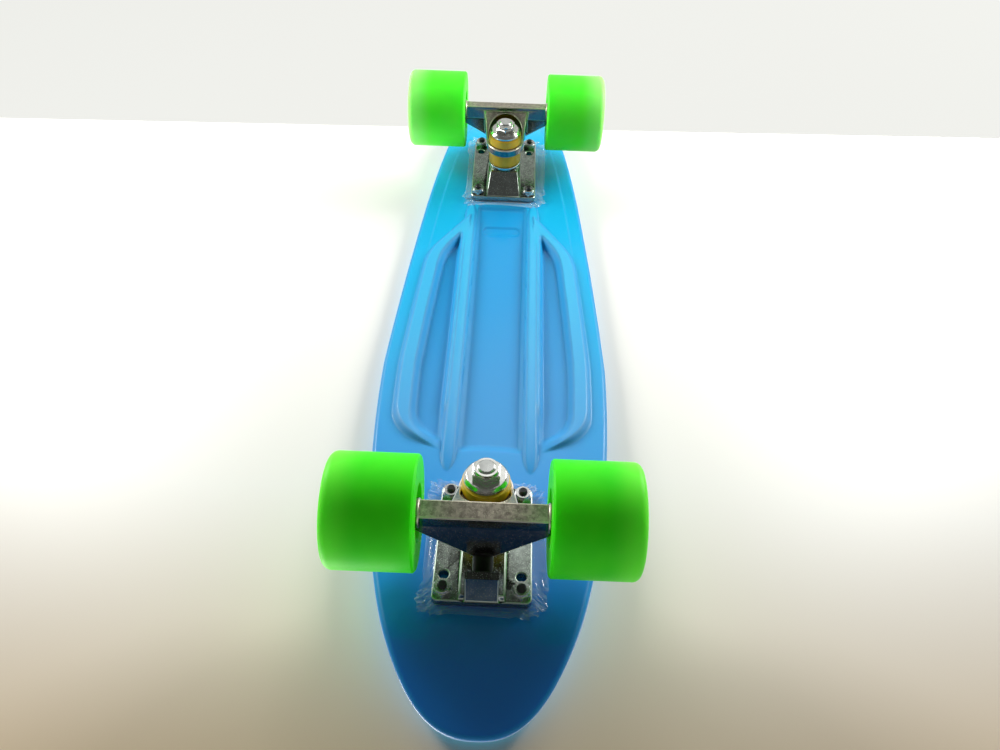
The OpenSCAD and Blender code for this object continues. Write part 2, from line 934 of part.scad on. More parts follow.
module cages(end, side) {
    color("Khaki")
        on_wheel(end, side)
            both_bearings()
                cage_of_bearing();
}

// ---------------------------------------------------------------- wheels

module wheel(end, side) {
    half = wheel_w / 2;
    seat_r = bearing_od / 2;
    inner_edge = 1;
    color("LimeGreen")
        on_wheel(end, side)
            difference() {
                rotate_extrude() {
                    difference() {
                        translate([seat_r - 1.4, -half])
                            square([wheel_r - seat_r + 1.4, wheel_w]);
                        translate([wheel_r - wheel_edge, half - wheel_edge])
                            difference() {
                                square(wheel_edge + 1);
                                circle(r = wheel_edge);
                            }
                        translate([wheel_r, -half])
                            circle(r = inner_edge, $fn = 4);
                    }
                }
                for (s = [0, 1])
                    mirror([0, 0, s]) {
                        translate([0, 0, spacer_l / 2])
                            cylinder(r = seat_r, h = half);
                        translate([0, 0, bearing_out + 1])
                            cylinder(r1 = seat_r, r2 = recess_r, h = half - bearing_out - 1 + eps);
                    }
            }
}

// ---------------------------------------------------------------- nodes

deck();

baseplate(REAR);  // rear_baseplate
pivot_cup(REAR);  // rear_pivot_cup
kingpin(REAR);  // rear_kingpin
lower_washer(REAR);  // rear_lower_washer
lower_bushing(REAR);  // rear_lower_bushing
upper_bushing(REAR);  // rear_upper_bushing
upper_washer(REAR);  // rear_upper_washer
kingpin_nut(REAR);  // rear_kingpin_nut
film(REAR);  // rear_film
deck_bolts(REAR);  // rear_deck_bolts
deck_nuts(REAR);  // rear_deck_nuts
hanger(REAR);  // rear_hanger
axle(REAR);  // rear_axle
axle_nuts(REAR);  // rear_axle_nuts
speed_washers(REAR);  // rear_speed_washers
inner_rings(REAR);  // rear_inner_rings
spacers(REAR);  // rear_spacers

baseplate(FRONT);  // front_baseplate
pivot_cup(FRONT);  // front_pivot_cup
kingpin(FRONT);  // front_kingpin
lower_washer(FRONT);  // front_lower_washer
lower_bushing(FRONT);  // front_lower_bushing
upper_bushing(FRONT);  // front_upper_bushing
upper_washer(FRONT);  // front_upper_washer
kingpin_nut(FRONT);  // front_kingpin_nut
film(FRONT);  // front_film
deck_bolts(FRONT);  // front_deck_bolts
deck_nuts(FRONT);  // front_deck_nuts
hanger(FRONT);  // front_hanger
axle(FRONT);  // front_axle
axle_nuts(FRONT);  // front_axle_nuts
speed_washers(FRONT);  // front_speed_washers
inner_rings(FRONT);  // front_inner_rings
spacers(FRONT);  // front_spacers

wheel(REAR, LEFT);  // rear_left_wheel
outer_rings(REAR, LEFT);  // rear_left_outer_rings
shields(REAR, LEFT);  // rear_left_shields
balls(REAR, LEFT);  // rear_left_balls
cages(REAR, LEFT);  // rear_left_cages
wheel(REAR, RIGHT);  // rear_right_wheel
outer_rings(REAR, RIGHT);  // rear_right_outer_rings
shields(REAR, RIGHT);  // rear_right_shields
balls(REAR, RIGHT);  // rear_right_balls
cages(REAR, RIGHT);  // rear_right_cages
wheel(FRONT, LEFT);  // front_left_wheel
outer_rings(FRONT, LEFT);  // front_left_outer_rings
shields(FRONT, LEFT);  // front_left_shields
balls(FRONT, LEFT);  // front_left_balls
cages(FRONT, LEFT);  // front_left_cages
wheel(FRONT, RIGHT);  // front_right_wheel
outer_rings(FRONT, RIGHT);  // front_right_outer_rings
shields(FRONT, RIGHT);  // front_right_shields
balls(FRONT, RIGHT);  // front_right_balls
cages(FRONT, RIGHT);  // front_right_cages
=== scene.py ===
# %% [markdown]
# # A moulded-plastic cruiser skateboard
# The solids of the board come from its construction model. This script dresses them: it moulds the
# deck again as a smooth mesh, rounds the castings, lays the crumpled film under the trucks and gives
# every piece a procedural finish. The construction model is loaded first, because every place and
# most sizes below are read from it.

# %% Load the board
import json
import math

import bpy
import numpy as np
from mathutils import Matrix, Vector, kdtree


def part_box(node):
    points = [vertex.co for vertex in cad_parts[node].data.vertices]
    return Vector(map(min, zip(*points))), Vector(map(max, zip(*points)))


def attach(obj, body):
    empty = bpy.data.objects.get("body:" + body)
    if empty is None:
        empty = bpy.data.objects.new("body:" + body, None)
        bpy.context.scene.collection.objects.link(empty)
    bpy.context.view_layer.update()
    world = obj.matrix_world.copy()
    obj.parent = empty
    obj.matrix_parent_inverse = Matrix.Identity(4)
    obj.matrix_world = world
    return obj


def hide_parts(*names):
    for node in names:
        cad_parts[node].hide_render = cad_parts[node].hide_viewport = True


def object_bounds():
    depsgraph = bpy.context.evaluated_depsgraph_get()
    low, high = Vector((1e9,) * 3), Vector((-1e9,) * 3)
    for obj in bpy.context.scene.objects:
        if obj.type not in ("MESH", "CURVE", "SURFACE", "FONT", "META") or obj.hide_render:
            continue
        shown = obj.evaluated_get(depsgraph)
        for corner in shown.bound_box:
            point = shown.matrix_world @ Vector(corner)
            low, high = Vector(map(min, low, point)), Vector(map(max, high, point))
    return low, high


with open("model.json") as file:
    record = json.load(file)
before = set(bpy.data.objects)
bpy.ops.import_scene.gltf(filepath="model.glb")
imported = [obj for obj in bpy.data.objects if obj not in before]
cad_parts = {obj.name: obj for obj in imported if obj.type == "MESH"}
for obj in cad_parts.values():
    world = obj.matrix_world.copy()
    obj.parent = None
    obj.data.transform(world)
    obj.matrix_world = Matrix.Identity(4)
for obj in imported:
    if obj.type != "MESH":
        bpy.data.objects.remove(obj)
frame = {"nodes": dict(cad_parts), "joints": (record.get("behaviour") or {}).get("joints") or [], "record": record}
cad_low, cad_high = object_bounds()
joints = {joint["name"]: joint for joint in frame["joints"]}
MM = 0.001
ENDS = {"rear": -1, "front": 1}
SIDES = {"left": 1, "right": -1}
print("the board measures", [round(v * 1000, 1) for v in cad_high - cad_low], "mm")

# %% [markdown]
# ## Sizes
# A few driving sizes describe the deck's bends, its outline and where the trucks sit. The rest follows
# from the loaded solids: the deck's length and width, the wheels, and the joints of the trucks.

# %% Driving sizes
CAMBER = math.radians(4)
TAIL_KICK = math.radians(14)
NOSE_KICK = math.radians(6)
TAIL_BEND = 80 * MM
NOSE_BEND = 110 * MM
TRUCK_SPAN = 364.8 * MM
TRUCK_BACK = 1.8 * MM
WIDEST_BACK = 38 * MM
DECK_T = 10 * MM
PAD_HALF = 45 * MM
KING_X = 9.6 * MM
RING_MID = 36.5 * MM
BOLT_DX = 63.5 * MM
BOLT_DY = 41.3 * MM
PIVOT_MOUTH = Vector((-24, 0, 17)) * MM

deck_low, deck_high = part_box("deck")
DECK_LEN = deck_high.x - deck_low.x
DECK_HALF_W = (deck_high.y - deck_low.y) / 2


def truck_matrix(end):
    """Frame of a truck: origin at its bolt pattern, +X to the board's middle, +Z away from the deck."""
    turn = Matrix.Rotation(math.pi, 4, "X" if end == "rear" else "Y")
    tilt = Matrix.Rotation(ENDS[end] * CAMBER, 4, "Y")
    place = tilt @ turn
    ring = Vector(joints[end + "_steer"]["pos_m"])
    origin = ring - place @ Vector((KING_X, 0, RING_MID))
    return Matrix.Translation(origin) @ place


TRUCKS = {end: truck_matrix(end) for end in ENDS}
mount_z = TRUCKS["rear"].translation.z
print("the trucks are bolted on", round(mount_z * 1000, 2), "mm above the ground")

# %% [markdown]
# ## Camera
# The board lies on its back, wheels up, and is seen from behind its tail and well above it. The model
# stands on its wheels, so here the camera hangs below the ground plane and looks up at the underside.
# Its place is given from the middle of the rear truck's bolt pattern, and its direction by three angles.

# %% Place the camera
EYE_FROM_REAR_TRUCK = Vector((-242.5, 7.9, -401.9)) * MM
LOOK_UP = math.radians(47.18)
LOOK_ASIDE = math.radians(-0.56)
LEAN = math.radians(1.87)
FIELD_OF_VIEW = math.radians(62.17)

ahead = Vector((
    math.cos(LOOK_ASIDE) * math.cos(LOOK_UP),
    math.sin(LOOK_ASIDE) * math.cos(LOOK_UP),
    math.sin(LOOK_UP),
))
level = Vector((-math.sin(LOOK_ASIDE), math.cos(LOOK_ASIDE), 0))
upward = level.cross(ahead)
right = level * math.cos(LEAN) + upward * math.sin(LEAN)
upward = right.cross(ahead)
camera_data = bpy.data.cameras.new("camera")
camera_data.sensor_width = 36
camera_data.lens = camera_data.sensor_width / 2 / math.tan(FIELD_OF_VIEW / 2)
camera_data.clip_start = 0.01
camera = bpy.data.objects.new("camera", camera_data)
rear_pattern = Vector((-TRUCK_SPAN / 2 - TRUCK_BACK, 0, mount_z))
camera.matrix_world = (
    Matrix.Translation(rear_pattern + EYE_FROM_REAR_TRUCK)
    @ Matrix((right, upward, -ahead)).transposed().to_4x4()
)
bpy.context.scene.collection.objects.link(camera)
bpy.context.scene.camera = camera
print("the lens is", round(camera_data.lens, 2), "mm")

# %% [markdown]
# ## A small language for shaders
# Node trees are easier to read as sums. The class Field wraps one output of a shader node, and adding,
# multiplying or mixing two of them adds the nodes that do it. Everything else goes through one method,
# `node`, that takes a node's type, its settings and what its sockets receive.

# %% Shader fields
class Field:
    """One socket of a shader tree, which can be used in an expression."""

    def __init__(self, owner, socket):
        self.owner = owner
        self.socket = socket

    def combine(self, operation, other, swapped=False):
        pair = [other, self] if swapped else [self, other]
        type_name = "VectorMath" if self.socket.type == "VECTOR" else "Math"
        return self.owner.node(type_name, {"operation": operation}, dict(enumerate(pair)))

    def __add__(self, other):
        return self.combine("ADD", other)

    def __radd__(self, other):
        return self.combine("ADD", other, True)

    def __sub__(self, other):
        return self.combine("SUBTRACT", other)

    def __rsub__(self, other):
        return self.combine("SUBTRACT", other, True)

    def __mul__(self, other):
        return self.combine("MULTIPLY", other)

    def part(self, axis):
        """X, Y or Z of a vector."""
        return self.owner.node("SeparateXYZ", {}, {0: self}, axis)

    def distance(self, point):
        """How far a place is from a point."""
        return self.owner.node("VectorMath", {"operation": "DISTANCE"}, {0: self, 1: point}, 1)

    def map(self, low, high, to_low=0.0, to_high=1.0):
        """Smooth step from to_low to to_high as the value goes from low to high."""
        settings = {"interpolation_type": "SMOOTHSTEP"}
        return self.owner.node("MapRange", settings, {0: self, 1: low, 2: high, 3: to_low, 4: to_high})

    def mix(self, first, second):
        """Colour that goes from first to second as the value goes from 0 to 1."""
        return self.owner.node("Mix", {"data_type": "RGBA"}, {0: self, 6: first, 7: second}, 2)

    def blend(self, first, second):
        """Number that goes from first to second as the value goes from 0 to 1."""
        return self.owner.node("Mix", {"data_type": "FLOAT"}, {0: self, 2: first, 3: second})


class Tree:
    """A node tree under construction."""

    def __init__(self, tree):
        self.tree = tree

    def plug(self, socket, value):
        """Feeds a socket with another socket, a colour or a number."""
        if isinstance(value, Field):
            self.tree.links.new(value.socket, socket)
        elif isinstance(value, (tuple, list)) and len(value) == 3 and socket.type == "RGBA":
            socket.default_value = (*value, 1)
        else:
            socket.default_value = value

    def node(self, type_name, settings, values, output=0):
        """Adds a node, sets it, feeds its sockets and returns one of its outputs."""
        made = self.tree.nodes.new("ShaderNode" + type_name)
        for setting, value in settings.items():
            setattr(made, setting, value)
        for socket, value in values.items():
            self.plug(made.inputs[socket], value)
        return Field(self, made.outputs[output])


class Paint(Tree):
    """A material under construction."""

    def __init__(self, name):
        self.material = bpy.data.materials.new(name)
        self.material.use_nodes = True
        super().__init__(self.material.node_tree)
        self.shader = next(n for n in self.tree.nodes if n.type == "BSDF_PRINCIPLED")
        self.output = next(n for n in self.tree.nodes if n.type == "OUTPUT_MATERIAL")
        self.main = Field(self, self.shader.outputs[0])

    def place(self):
        """Position in the board's own frame."""
        return self.node("TexCoord", {}, {}, "Object")

    def attribute(self, name):
        """Number that the mesh stores under a name."""
        return self.node("Attribute", {"attribute_name": name}, {}, "Fac")

    def noise(self, scale, detail, roughness=0.5, stretch=None):
        """Cloudy pattern from 0 to 1, with so many clouds to the metre."""
        where = self.place() * stretch if stretch else self.place()
        values = {"Vector": where, "Scale": scale, "Detail": detail, "Roughness": roughness}
        return self.node("TexNoise", {}, values)

    def cells(self, scale):
        """Distance to the nearest of many scattered points."""
        return self.node("TexVoronoi", {}, {"Vector": self.place(), "Scale": scale})

    def bump(self, height, distance, strength, under=None):
        """Surface direction with a fine relief, laid over another one if that is given."""
        values = {"Height": height, "Distance": distance, "Strength": strength}
        if under:
            values["Normal"] = under
        return self.node("Bump", {}, values)

    def shade(self, **sockets):
        """Feeds the main shader's sockets: base_color means Base Color."""
        for name, value in sockets.items():
            self.plug(self.shader.inputs[name.replace("_", " ").title().replace("Ior", "IOR")], value)
        return self.material

    def show(self, share, first, second):
        """Shows a mix of two shaders where the main one was."""
        mixed = self.node("MixShader", {}, {0: share, 1: first, 2: second})
        self.plug(self.output.inputs["Surface"], mixed)
        return self.material


print("the shader language is ready")

# %% [markdown]
# ## The deck's plastic
# The deck is moulded polypropylene, glossy and coloured right through. A little light enters it, so
# its shadows stay blue. Its colour is painted darker towards the tail and lighter towards the nose, as
# painted shade and light, and its gloss is broken by a fine orange peel and a few rubbed places. The
# mesh says which points are sunk, stand proud or lie on a flank, and the paint uses this for painted
# shade on the sunk floors and flanks and a painted highlight on the crests. A white painted sheen lies
# over the underside from the rear truck towards the middle.

# %% Deck plastic
TAIL_BLUE_SHADED = (0.003, 0.19, 0.70)
NOSE_BLUE_LIT = (0.003, 0.43, 0.78)
TOP_BLUE = (0.003, 0.34, 0.74)
SUNK_SHADE_BLUE = (0.002, 0.25, 0.63)
FLANK_SHADE_BLUE = (0.0, 0.25, 0.58)
RIDGE_HIGHLIGHT_TINT = (0.8, 1.0, 1.0)
SHEEN_WHITE = (1.0, 1.0, 1.0)


def deck_plastic():
    """Blue plastic that reads the marks which the mesh of the deck carries."""
    paint = Paint("deck_plastic")
    flow = paint.noise(7, 2, stretch=(1, 3, 3))
    haze = paint.noise(60, 4)
    across = paint.place().part("X")
    # Painted light and shade: the deck is painted darker towards the tail and lighter towards the nose, where the
    # lamps stand.
    along = across.map(-0.26, 0.06) + flow.map(0.3, 0.7, -0.04, 0.04)
    colour = along.mix(TAIL_BLUE_SHADED, NOSE_BLUE_LIT)
    under = paint.attribute("under")
    colour = under.mix(TOP_BLUE, colour)
    # Painted shade: the sunk floors are painted darker.
    colour = (paint.attribute("sunk") * 0.7).mix(colour, SUNK_SHADE_BLUE)
    steep = paint.attribute("steep")
    # Painted shade: the flanks are painted darker.
    colour = (steep * 0.7).mix(colour, FLANK_SHADE_BLUE)
    # Painted sheen: white over the underside from the rear truck towards the middle, standing in for reflected
    # light.
    painted_sheen = across.map(-0.19, -0.11) * across.map(0.06, -0.10) * under
    colour = (painted_sheen * 0.04).mix(colour, SHEEN_WHITE)
    # Painted highlight: the proud crests are painted paler.
    colour = (paint.attribute("proud") * 0.05).mix(colour, RIDGE_HIGHLIGHT_TINT)
    rubbed = haze.map(0.45, 0.75)
    peel = paint.noise(260, 2)
    return paint.shade(
        base_color=colour,
        roughness=0.36 + rubbed * 0.08 + steep * 0.22,
        subsurface_weight=0.12,
        subsurface_radius=(0.15, 0.5, 1.0),
        subsurface_scale=0.006,
        specular_ior_level=0.3,
        coat_weight=0.35 - steep * 0.35,
        coat_roughness=0.13,
        normal=paint.bump(peel, 0.00006, 0.6),
    )


# %% [markdown]
# ## Wheel urethane
# The wheels are cast from lime urethane that lets light in. Where the wall is thin, at the lips, light
# comes through and the colour turns pale; over the thick middle it stays deep. The paint reads how far a
# point lies from the middle of its own wheel and mixes the two tints as painted light. The tail's wheels
# are painted a little darker than the nose's, as painted shade, since the lamps stand by the nose, and the
# urethane glows faintly of itself as painted light.

# %% Wheel urethane
WHEEL_Y = abs(joints["rear_left_spin"]["pos_m"][1])
wheel_low, wheel_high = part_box("rear_left_wheel")
WHEEL_HALF = (wheel_high.y - wheel_low.y) / 2
TAIL_GREENS_SHADED = (0.03, 0.72, 0.004), (0.05, 0.78, 0.006)
TAIL_LIP_SHADED = (0.16, 0.88, 0.05)
NOSE_GREENS_LIT = (0.07, 0.97, 0.03), (0.10, 1.0, 0.04)
NOSE_LIP_LIT = (0.34, 1.0, 0.22)


def wheel_urethane():
    """Lime urethane, paler towards the lips."""
    paint = Paint("wheel_urethane")
    across = paint.place().part("Y")
    along_width = paint.node("Math", {"operation": "ABSOLUTE"}, {0: across}) - WHEEL_Y
    lip = along_width.map(WHEEL_HALF * 0.1, WHEEL_HALF)
    cloud = paint.noise(35, 2).map(0.3, 0.7)
    tail_shaded = lip.mix(cloud.mix(*TAIL_GREENS_SHADED), TAIL_LIP_SHADED)
    nose_lit = lip.mix(cloud.mix(*NOSE_GREENS_LIT), NOSE_LIP_LIT)
    # Painted shade and light: the tail's wheels are painted darker and the nose's lighter, since the lamps stand
    # by the nose.
    colour = paint.place().part("X").map(-0.1, 0.1).mix(tail_shaded, nose_lit)
    scuff = paint.noise(500, 4)
    return paint.shade(
        base_color=colour,
        roughness=0.46 + scuff.map(0.5, 0.8) * 0.12,
        specular_ior_level=0.15,
        subsurface_weight=0.7,
        subsurface_radius=(0.35, 1.0, 0.12),
        subsurface_scale=0.013,
        # Painted light: a faint glow standing in for light that wanders through the urethane.
        emission_color=(0.10, 1.0, 0.005),
        emission_strength=0.04,
        normal=paint.bump(scuff, 0.00004, 0.5),
    )


# %% [markdown]
# ## Metals
# Each metal is one shader with its own mottling. The castings are tumbled zinc: grey, cloudy, with
# bright specks. Their faces towards the ground are painted lighter and their flanks darker, as painted
# light and shade, their rolled edges are painted lighter as a painted highlight, and they are painted
# darker near the pivot's mouth. The washers and nuts are bright plated steel, and the deck bolts are
# blackened.

# %% Metals
PIVOT_DARK = (0.03, 0.028, 0.026)


def cast_metal(name, dark, light, smooth, rough, speck=0.5, relief=0.3, pivot_darkening=1.0):
    """Cast zinc: coarse where it faces the ground and slick on its flanks, with painted light on the faces towards
    the ground and painted shade on the flanks.
    """
    paint = Paint(name)
    facing = paint.node("TexCoord", {}, {}, "Normal").part("Z").map(-0.62, -0.9)
    mottle = paint.noise(330, 6, 0.7)
    cloud = paint.noise(70, 3)
    grain = paint.noise(1500, 2)
    sparkle = paint.cells(1100).map(0.30, 0.08) * speck
    edge = paint.attribute("edge")
    lit_ground_face = mottle.map(0.38, 0.62).mix(tuple(v * 0.55 for v in light), light)
    lit_ground_face = (cloud.map(0.35, 0.7) * 0.4).mix(lit_ground_face, tuple(v * 0.6 for v in light))
    bright = tuple(min(1.0, v * 1.25 + 0.12) for v in light)
    lit_ground_face = sparkle.mix(lit_ground_face, bright)
    slick = mottle.map(0.3, 0.7).mix(dark, tuple(v * 1.25 for v in dark))
    # Painted light and shade: faces towards the ground take the lit colour, flanks the dark one; the rolled edges
    # take a painted highlight.
    base = (edge * 0.7).mix(facing.mix(slick, lit_ground_face), bright)
    # Darker near the pivot's mouth.
    aways = [paint.place().distance(TRUCKS[end] @ PIVOT_MOUTH) for end in ENDS]
    near = paint.node("Math", {"operation": "MINIMUM"}, dict(enumerate(aways)))
    pivot_dark = near.map(0.0105, 0.007) * pivot_darkening
    base = pivot_dark.mix(base, PIVOT_DARK)
    normal = paint.bump(mottle, 0.00022, relief)
    slickness = smooth + facing * (rough - smooth) + edge * 0.2
    return paint.shade(
        base_color=base,
        metallic=1.0,
        roughness=slickness + mottle.map(0.3, 0.7, -0.03, 0.06) + sparkle * 0.25 + pivot_dark * 0.3,
        normal=paint.bump(grain, 0.00004, 0.5, normal),
    )


def smooth_metal(name, colour, roughness, metallic=1.0):
    """Machined or plated metal, faintly smeared."""
    paint = Paint(name)
    smear = paint.noise(90, 5, 0.6)
    grain = paint.noise(900, 3)
    dull = tuple(v * 0.8 for v in colour)
    return paint.shade(
        base_color=smear.map(0.35, 0.7).mix(colour, dull),
        metallic=metallic,
        roughness=roughness + smear.map(0.3, 0.8, 0.0, 0.1),
        normal=paint.bump(grain, 0.00002, 0.5),
    )


# %% [markdown]
# ## Rubbery pieces, nylon and film
# The bushings are mustard urethane, matt and slightly translucent. The film under the trucks is what is
# left of the packing: almost clear, so it is a mix of nothing and a sharp gloss that grows on its folds.

# %% Soft plastics
def soft_plastic(name, colour, roughness, inner_light=0.2):
    """Matt plastic or rubber that lets a little light in."""
    paint = Paint(name)
    cloud = paint.noise(120, 3)
    grain = paint.noise(1200, 2)
    pale = tuple(min(1.0, v * 1.2 + 0.01) for v in colour)
    return paint.shade(
        base_color=cloud.map(0.3, 0.7).mix(colour, pale),
        roughness=roughness + grain.map(0.4, 0.7) * 0.1,
        subsurface_weight=inner_light,
        subsurface_radius=(1.0, 0.6, 0.2),
        subsurface_scale=0.003,
        normal=paint.bump(grain, 0.00003, 0.5),
    )


def clear_film():
    """Almost nothing, with a gloss on the folds."""
    paint = Paint("clear_film")
    crease = paint.noise(260, 4, 0.6)
    paint.shade(
        base_color=(0.85, 0.92, 0.97),
        roughness=0.09,
        specular_ior_level=1.0,
        normal=paint.bump(crease, 0.0004, 0.8),
    )
    clear = paint.node("BsdfTransparent", {}, {"Color": (0.96, 0.98, 1.0)})
    rim = paint.node("LayerWeight", {}, {"Blend": 0.35}, "Facing")
    haze = 0.03 + rim * 0.36 + crease.map(0.55, 0.75) * 0.10
    return paint.show(haze, clear, paint.main)


MATERIALS = {
    "deck": deck_plastic(),
    "wheel": wheel_urethane(),
    "hanger": cast_metal("hanger_zinc", (0.20, 0.19, 0.19), (0.60, 0.54, 0.45), 0.12, 0.44, 0.9, 0.25),
    "baseplate": cast_metal(
        "plate_zinc", (0.28, 0.31, 0.31), (0.38, 0.44, 0.39), 0.12, 0.16, 1.0, 0.18, pivot_darkening=0.0
    ),
    "plated": smooth_metal("bright_plating", (0.70, 0.71, 0.67), 0.16),
    "axle": smooth_metal("zinc_plated_steel", (0.62, 0.64, 0.62), 0.24),
    "bearing": smooth_metal("bearing_steel", (0.68, 0.69, 0.70), 0.18),
    "bolt": smooth_metal("black_oxide", (0.035, 0.036, 0.04), 0.35, 0.6),
    "bushing": soft_plastic("mustard_urethane", (0.62, 0.38, 0.004), 0.40, 0.15),
    "cup": soft_plastic("black_nylon", (0.02, 0.02, 0.022), 0.5, 0.0),
    "cage": soft_plastic("natural_nylon", (0.72, 0.66, 0.50), 0.45),
    "film": clear_film(),
}
print(len(MATERIALS), "finishes")

# %% [markdown]
# ## Dress the construction solids
# Every solid names its finish in the record, so each one simply receives that material. The edges of the
# castings and of the hardware are rounded further down.

# %% Dress the solids
slot_of = {part["node"]: part["material_slot"] for part in frame["record"]["subparts"]}
for name, node in frame["nodes"].items():
    node.data.materials.clear()
    node.data.materials.append(MATERIALS[slot_of[name]])
print(len(frame["nodes"]), "solids dressed")

# %% [markdown]
# ## Shape of the deck
# Seen from the side, the deck is a low arch between two flat pads, with a bend up into the tail and a
# smaller one into the nose. Seen from above, its outline is a rounded lozenge, blunt at the nose. Both
# are formulas here, so the moulded mesh follows the construction solid exactly.

# %% Side profile and outline
ARCH_R = (TRUCK_SPAN / 2 - PAD_HALF * math.cos(CAMBER)) / math.sin(CAMBER)
MIDDLE_Z = mount_z + ARCH_R * (1 - math.cos(CAMBER)) + PAD_HALF * math.sin(CAMBER)
NOSE_POWERS = (1.15, 3.6)
TAIL_POWERS = (2.0, 2.45)


def side_profile(x):
    """Height and slope of the underside at distances x from the trucks' middle."""
    tail = x < 0
    away = np.abs(x)
    kick = np.where(tail, TAIL_KICK, NOSE_KICK)
    bend = np.where(tail, TAIL_BEND, NOSE_BEND)
    arch_x = ARCH_R * math.sin(CAMBER)
    pad_x = arch_x + 2 * PAD_HALF * math.cos(CAMBER)
    pad_z = -ARCH_R * (1 - math.cos(CAMBER)) - 2 * PAD_HALF * math.sin(CAMBER)
    hub_x = pad_x + bend * math.sin(CAMBER)
    hub_z = pad_z + bend * math.cos(CAMBER)
    kick_x = hub_x + bend * np.sin(kick)
    kick_z = hub_z - bend * np.cos(kick)
    arch = np.arcsin(np.clip(away, 0, arch_x) / ARCH_R)
    turn = np.arcsin(np.clip(away - hub_x, pad_x - hub_x, kick_x - hub_x) / bend)
    z = -ARCH_R * (1 - np.cos(arch))
    z = np.where(away > arch_x, z - (away - arch_x) * math.tan(CAMBER), z)
    z = np.where(away > pad_x, hub_z - bend * np.cos(turn), z)
    z = np.where(away > kick_x, kick_z + (away - kick_x) * np.tan(kick), z)
    slope = np.where(away > arch_x, -CAMBER, -arch)
    slope = np.where(away > pad_x, turn, slope)
    slope = np.where(away > kick_x, kick, slope)
    return z, np.where(tail, -slope, slope)


def on_deck(x, y, height):
    """Points of the deck: x from the deck's middle, y across, height above the underside."""
    z, slope = side_profile(x + TRUCK_BACK)
    return np.stack([x - height * np.sin(slope), y, MIDDLE_Z + z + height * np.cos(slope)], -1)


def half_outline(samples):
    """Evenly spaced points of the outline's left half, from the tail's tip to the nose's."""
    run = np.linspace(0, 1, 3000)
    halves = []
    for reach, (along, across) in (
        (DECK_LEN / 2 - WIDEST_BACK, TAIL_POWERS),
        (DECK_LEN / 2 + WIDEST_BACK, NOSE_POWERS),
    ):
        share = 1 - (1 - run) ** across
        width = DECK_HALF_W * (1 - share**along) ** (1 / across)
        halves.append(np.stack([share * reach, width], -1))
    tail, nose = halves
    tail = tail[::-1] * (-1, 1)
    line = np.concatenate([tail[:-1], nose]) - (WIDEST_BACK, 0)
    steps = np.linalg.norm(np.diff(line, axis=0), axis=1)
    length = np.concatenate([[0], np.cumsum(steps)])
    even = np.linspace(0, length[-1], samples)
    return np.stack([np.interp(even, length, line[:, i]) for i in (0, 1)], -1)


outline = half_outline(4000)
rim_tree = kdtree.KDTree(2 * len(outline))
for number, (x, y) in enumerate(outline):
    rim_tree.insert((x, y, 0), 2 * number)
    rim_tree.insert((x, -y, 0), 2 * number + 1)
rim_tree.balance()


def rim_distance(x, y):
    """Distance of points inside the outline to it."""
    flat = zip(np.ravel(x), np.ravel(y))
    return np.array([rim_tree.find((a, b, 0))[2] for a, b in flat]).reshape(np.shape(x))


print("the outline is", round(DECK_LEN * 1000, 1), "by", round(2000 * DECK_HALF_W, 1), "mm")

# %% [markdown]
# ## Relief of the underside
# The underside is ribbed for stiffness: two long ribs with boat-shaped ends, a loop of ridge around each
# side panel, and sunken floors between them. Each form is a smooth step driven by a distance: to the
# outline, to a rib's centre line or to the slanted ends of a loop. A loop is four nested contours, its
# foot, its crest's two edges and the floor, and the height runs smoothly from each to the next. Heights
# grow upwards from the underside, so ridges, which hang below it, are negative.

# %% Underside relief
RIB_Y = 25.3 * MM
RIB_MIDDLE_X = 6 * MM
RIB_HALF_LEN = 135 * MM
RIB_HALF_W = 4.65 * MM
RIB_FOOT = 8.5 * MM
RIB_END = 19 * MM
RIB_RAMP = 75 * MM
RIB_H = 4.0 * MM
LOOP_H = 3.3 * MM
LOOP_TAIL = (-111.6 * MM, 33.4 * MM)
LOOP_NOSE = (105 * MM, 42 * MM)
TAIL_LEAN = math.radians(-23.4)
NOSE_LEAN = math.radians(180 + 56.7)
PANEL_DEPTH = 2.0 * MM
TROUGH_TAIL = -113 * MM
TROUGH_NOSE = 140 * MM
RIM_R = 3.0 * MM
BORDER_DEPTH = 0.45 * MM
BORDER_W = 11.8 * MM
BORDER_RAMP = 0.9 * MM
BORDER_FADE_X = (60 * MM, 95 * MM)
LOOP_NOSE_R = 6 * MM
LOOP_FADE_X = (-70 * MM, -95 * MM)
LOOP_FADE_Y = (30 * MM, 50 * MM)
STEP_BULGE = 1.2 * MM
STEP_HALF_W = 17 * MM
TROUGH_TAIL_RAMP = 7.5 * MM
TROUGH_NOSE_RAMP = 6 * MM
RECESS_X = 110 * MM
RECESS_HALF_LEN = 10 * MM
RECESS_EDGE = (4.2 * MM, 5.2 * MM)
RECESS_DEPTH = 0.8 * MM
# In mm: the gaps to the outline, to the slanted tail end and to the nose end, and the corner's radius.
LOOP_CONTOURS = {
    "foot": (10, 0, 0, 14),
    "crest": (14.2, 1, 4.4, 20),
    "brow": (21, 4.3, 9, 10),
    "floor": (26.3, 12.7, 14.5, 11),
}


def ease(low, high, value):
    """Smooth step from 0 at low to 1 at high."""
    share = np.clip((value - low) / (high - low), 0, 1)
    return share * share * (3 - 2 * share)


def between(outer, inner):
    """Smooth step from 0 on an outer contour to 1 on an inner one, from the distances inside both."""
    share = np.clip(outer / np.maximum(outer - inner, 1e-6), 0, 1)
    return share * share * (3 - 2 * share)


def round_corner(a, b, radius):
    """The smaller of two distances, with the corner between them rounded."""
    cut = np.hypot(np.maximum(radius - a, 0), np.maximum(radius - b, 0))
    return np.where(np.minimum(a, b) < radius, radius - cut, np.minimum(a, b))


def past_line(x, y, point, angle):
    """Distance past a slanting line through a point; the same on both sides of the deck."""
    px, py = point
    return (x - px) * math.cos(angle) + (np.abs(y) - py) * math.sin(angle)


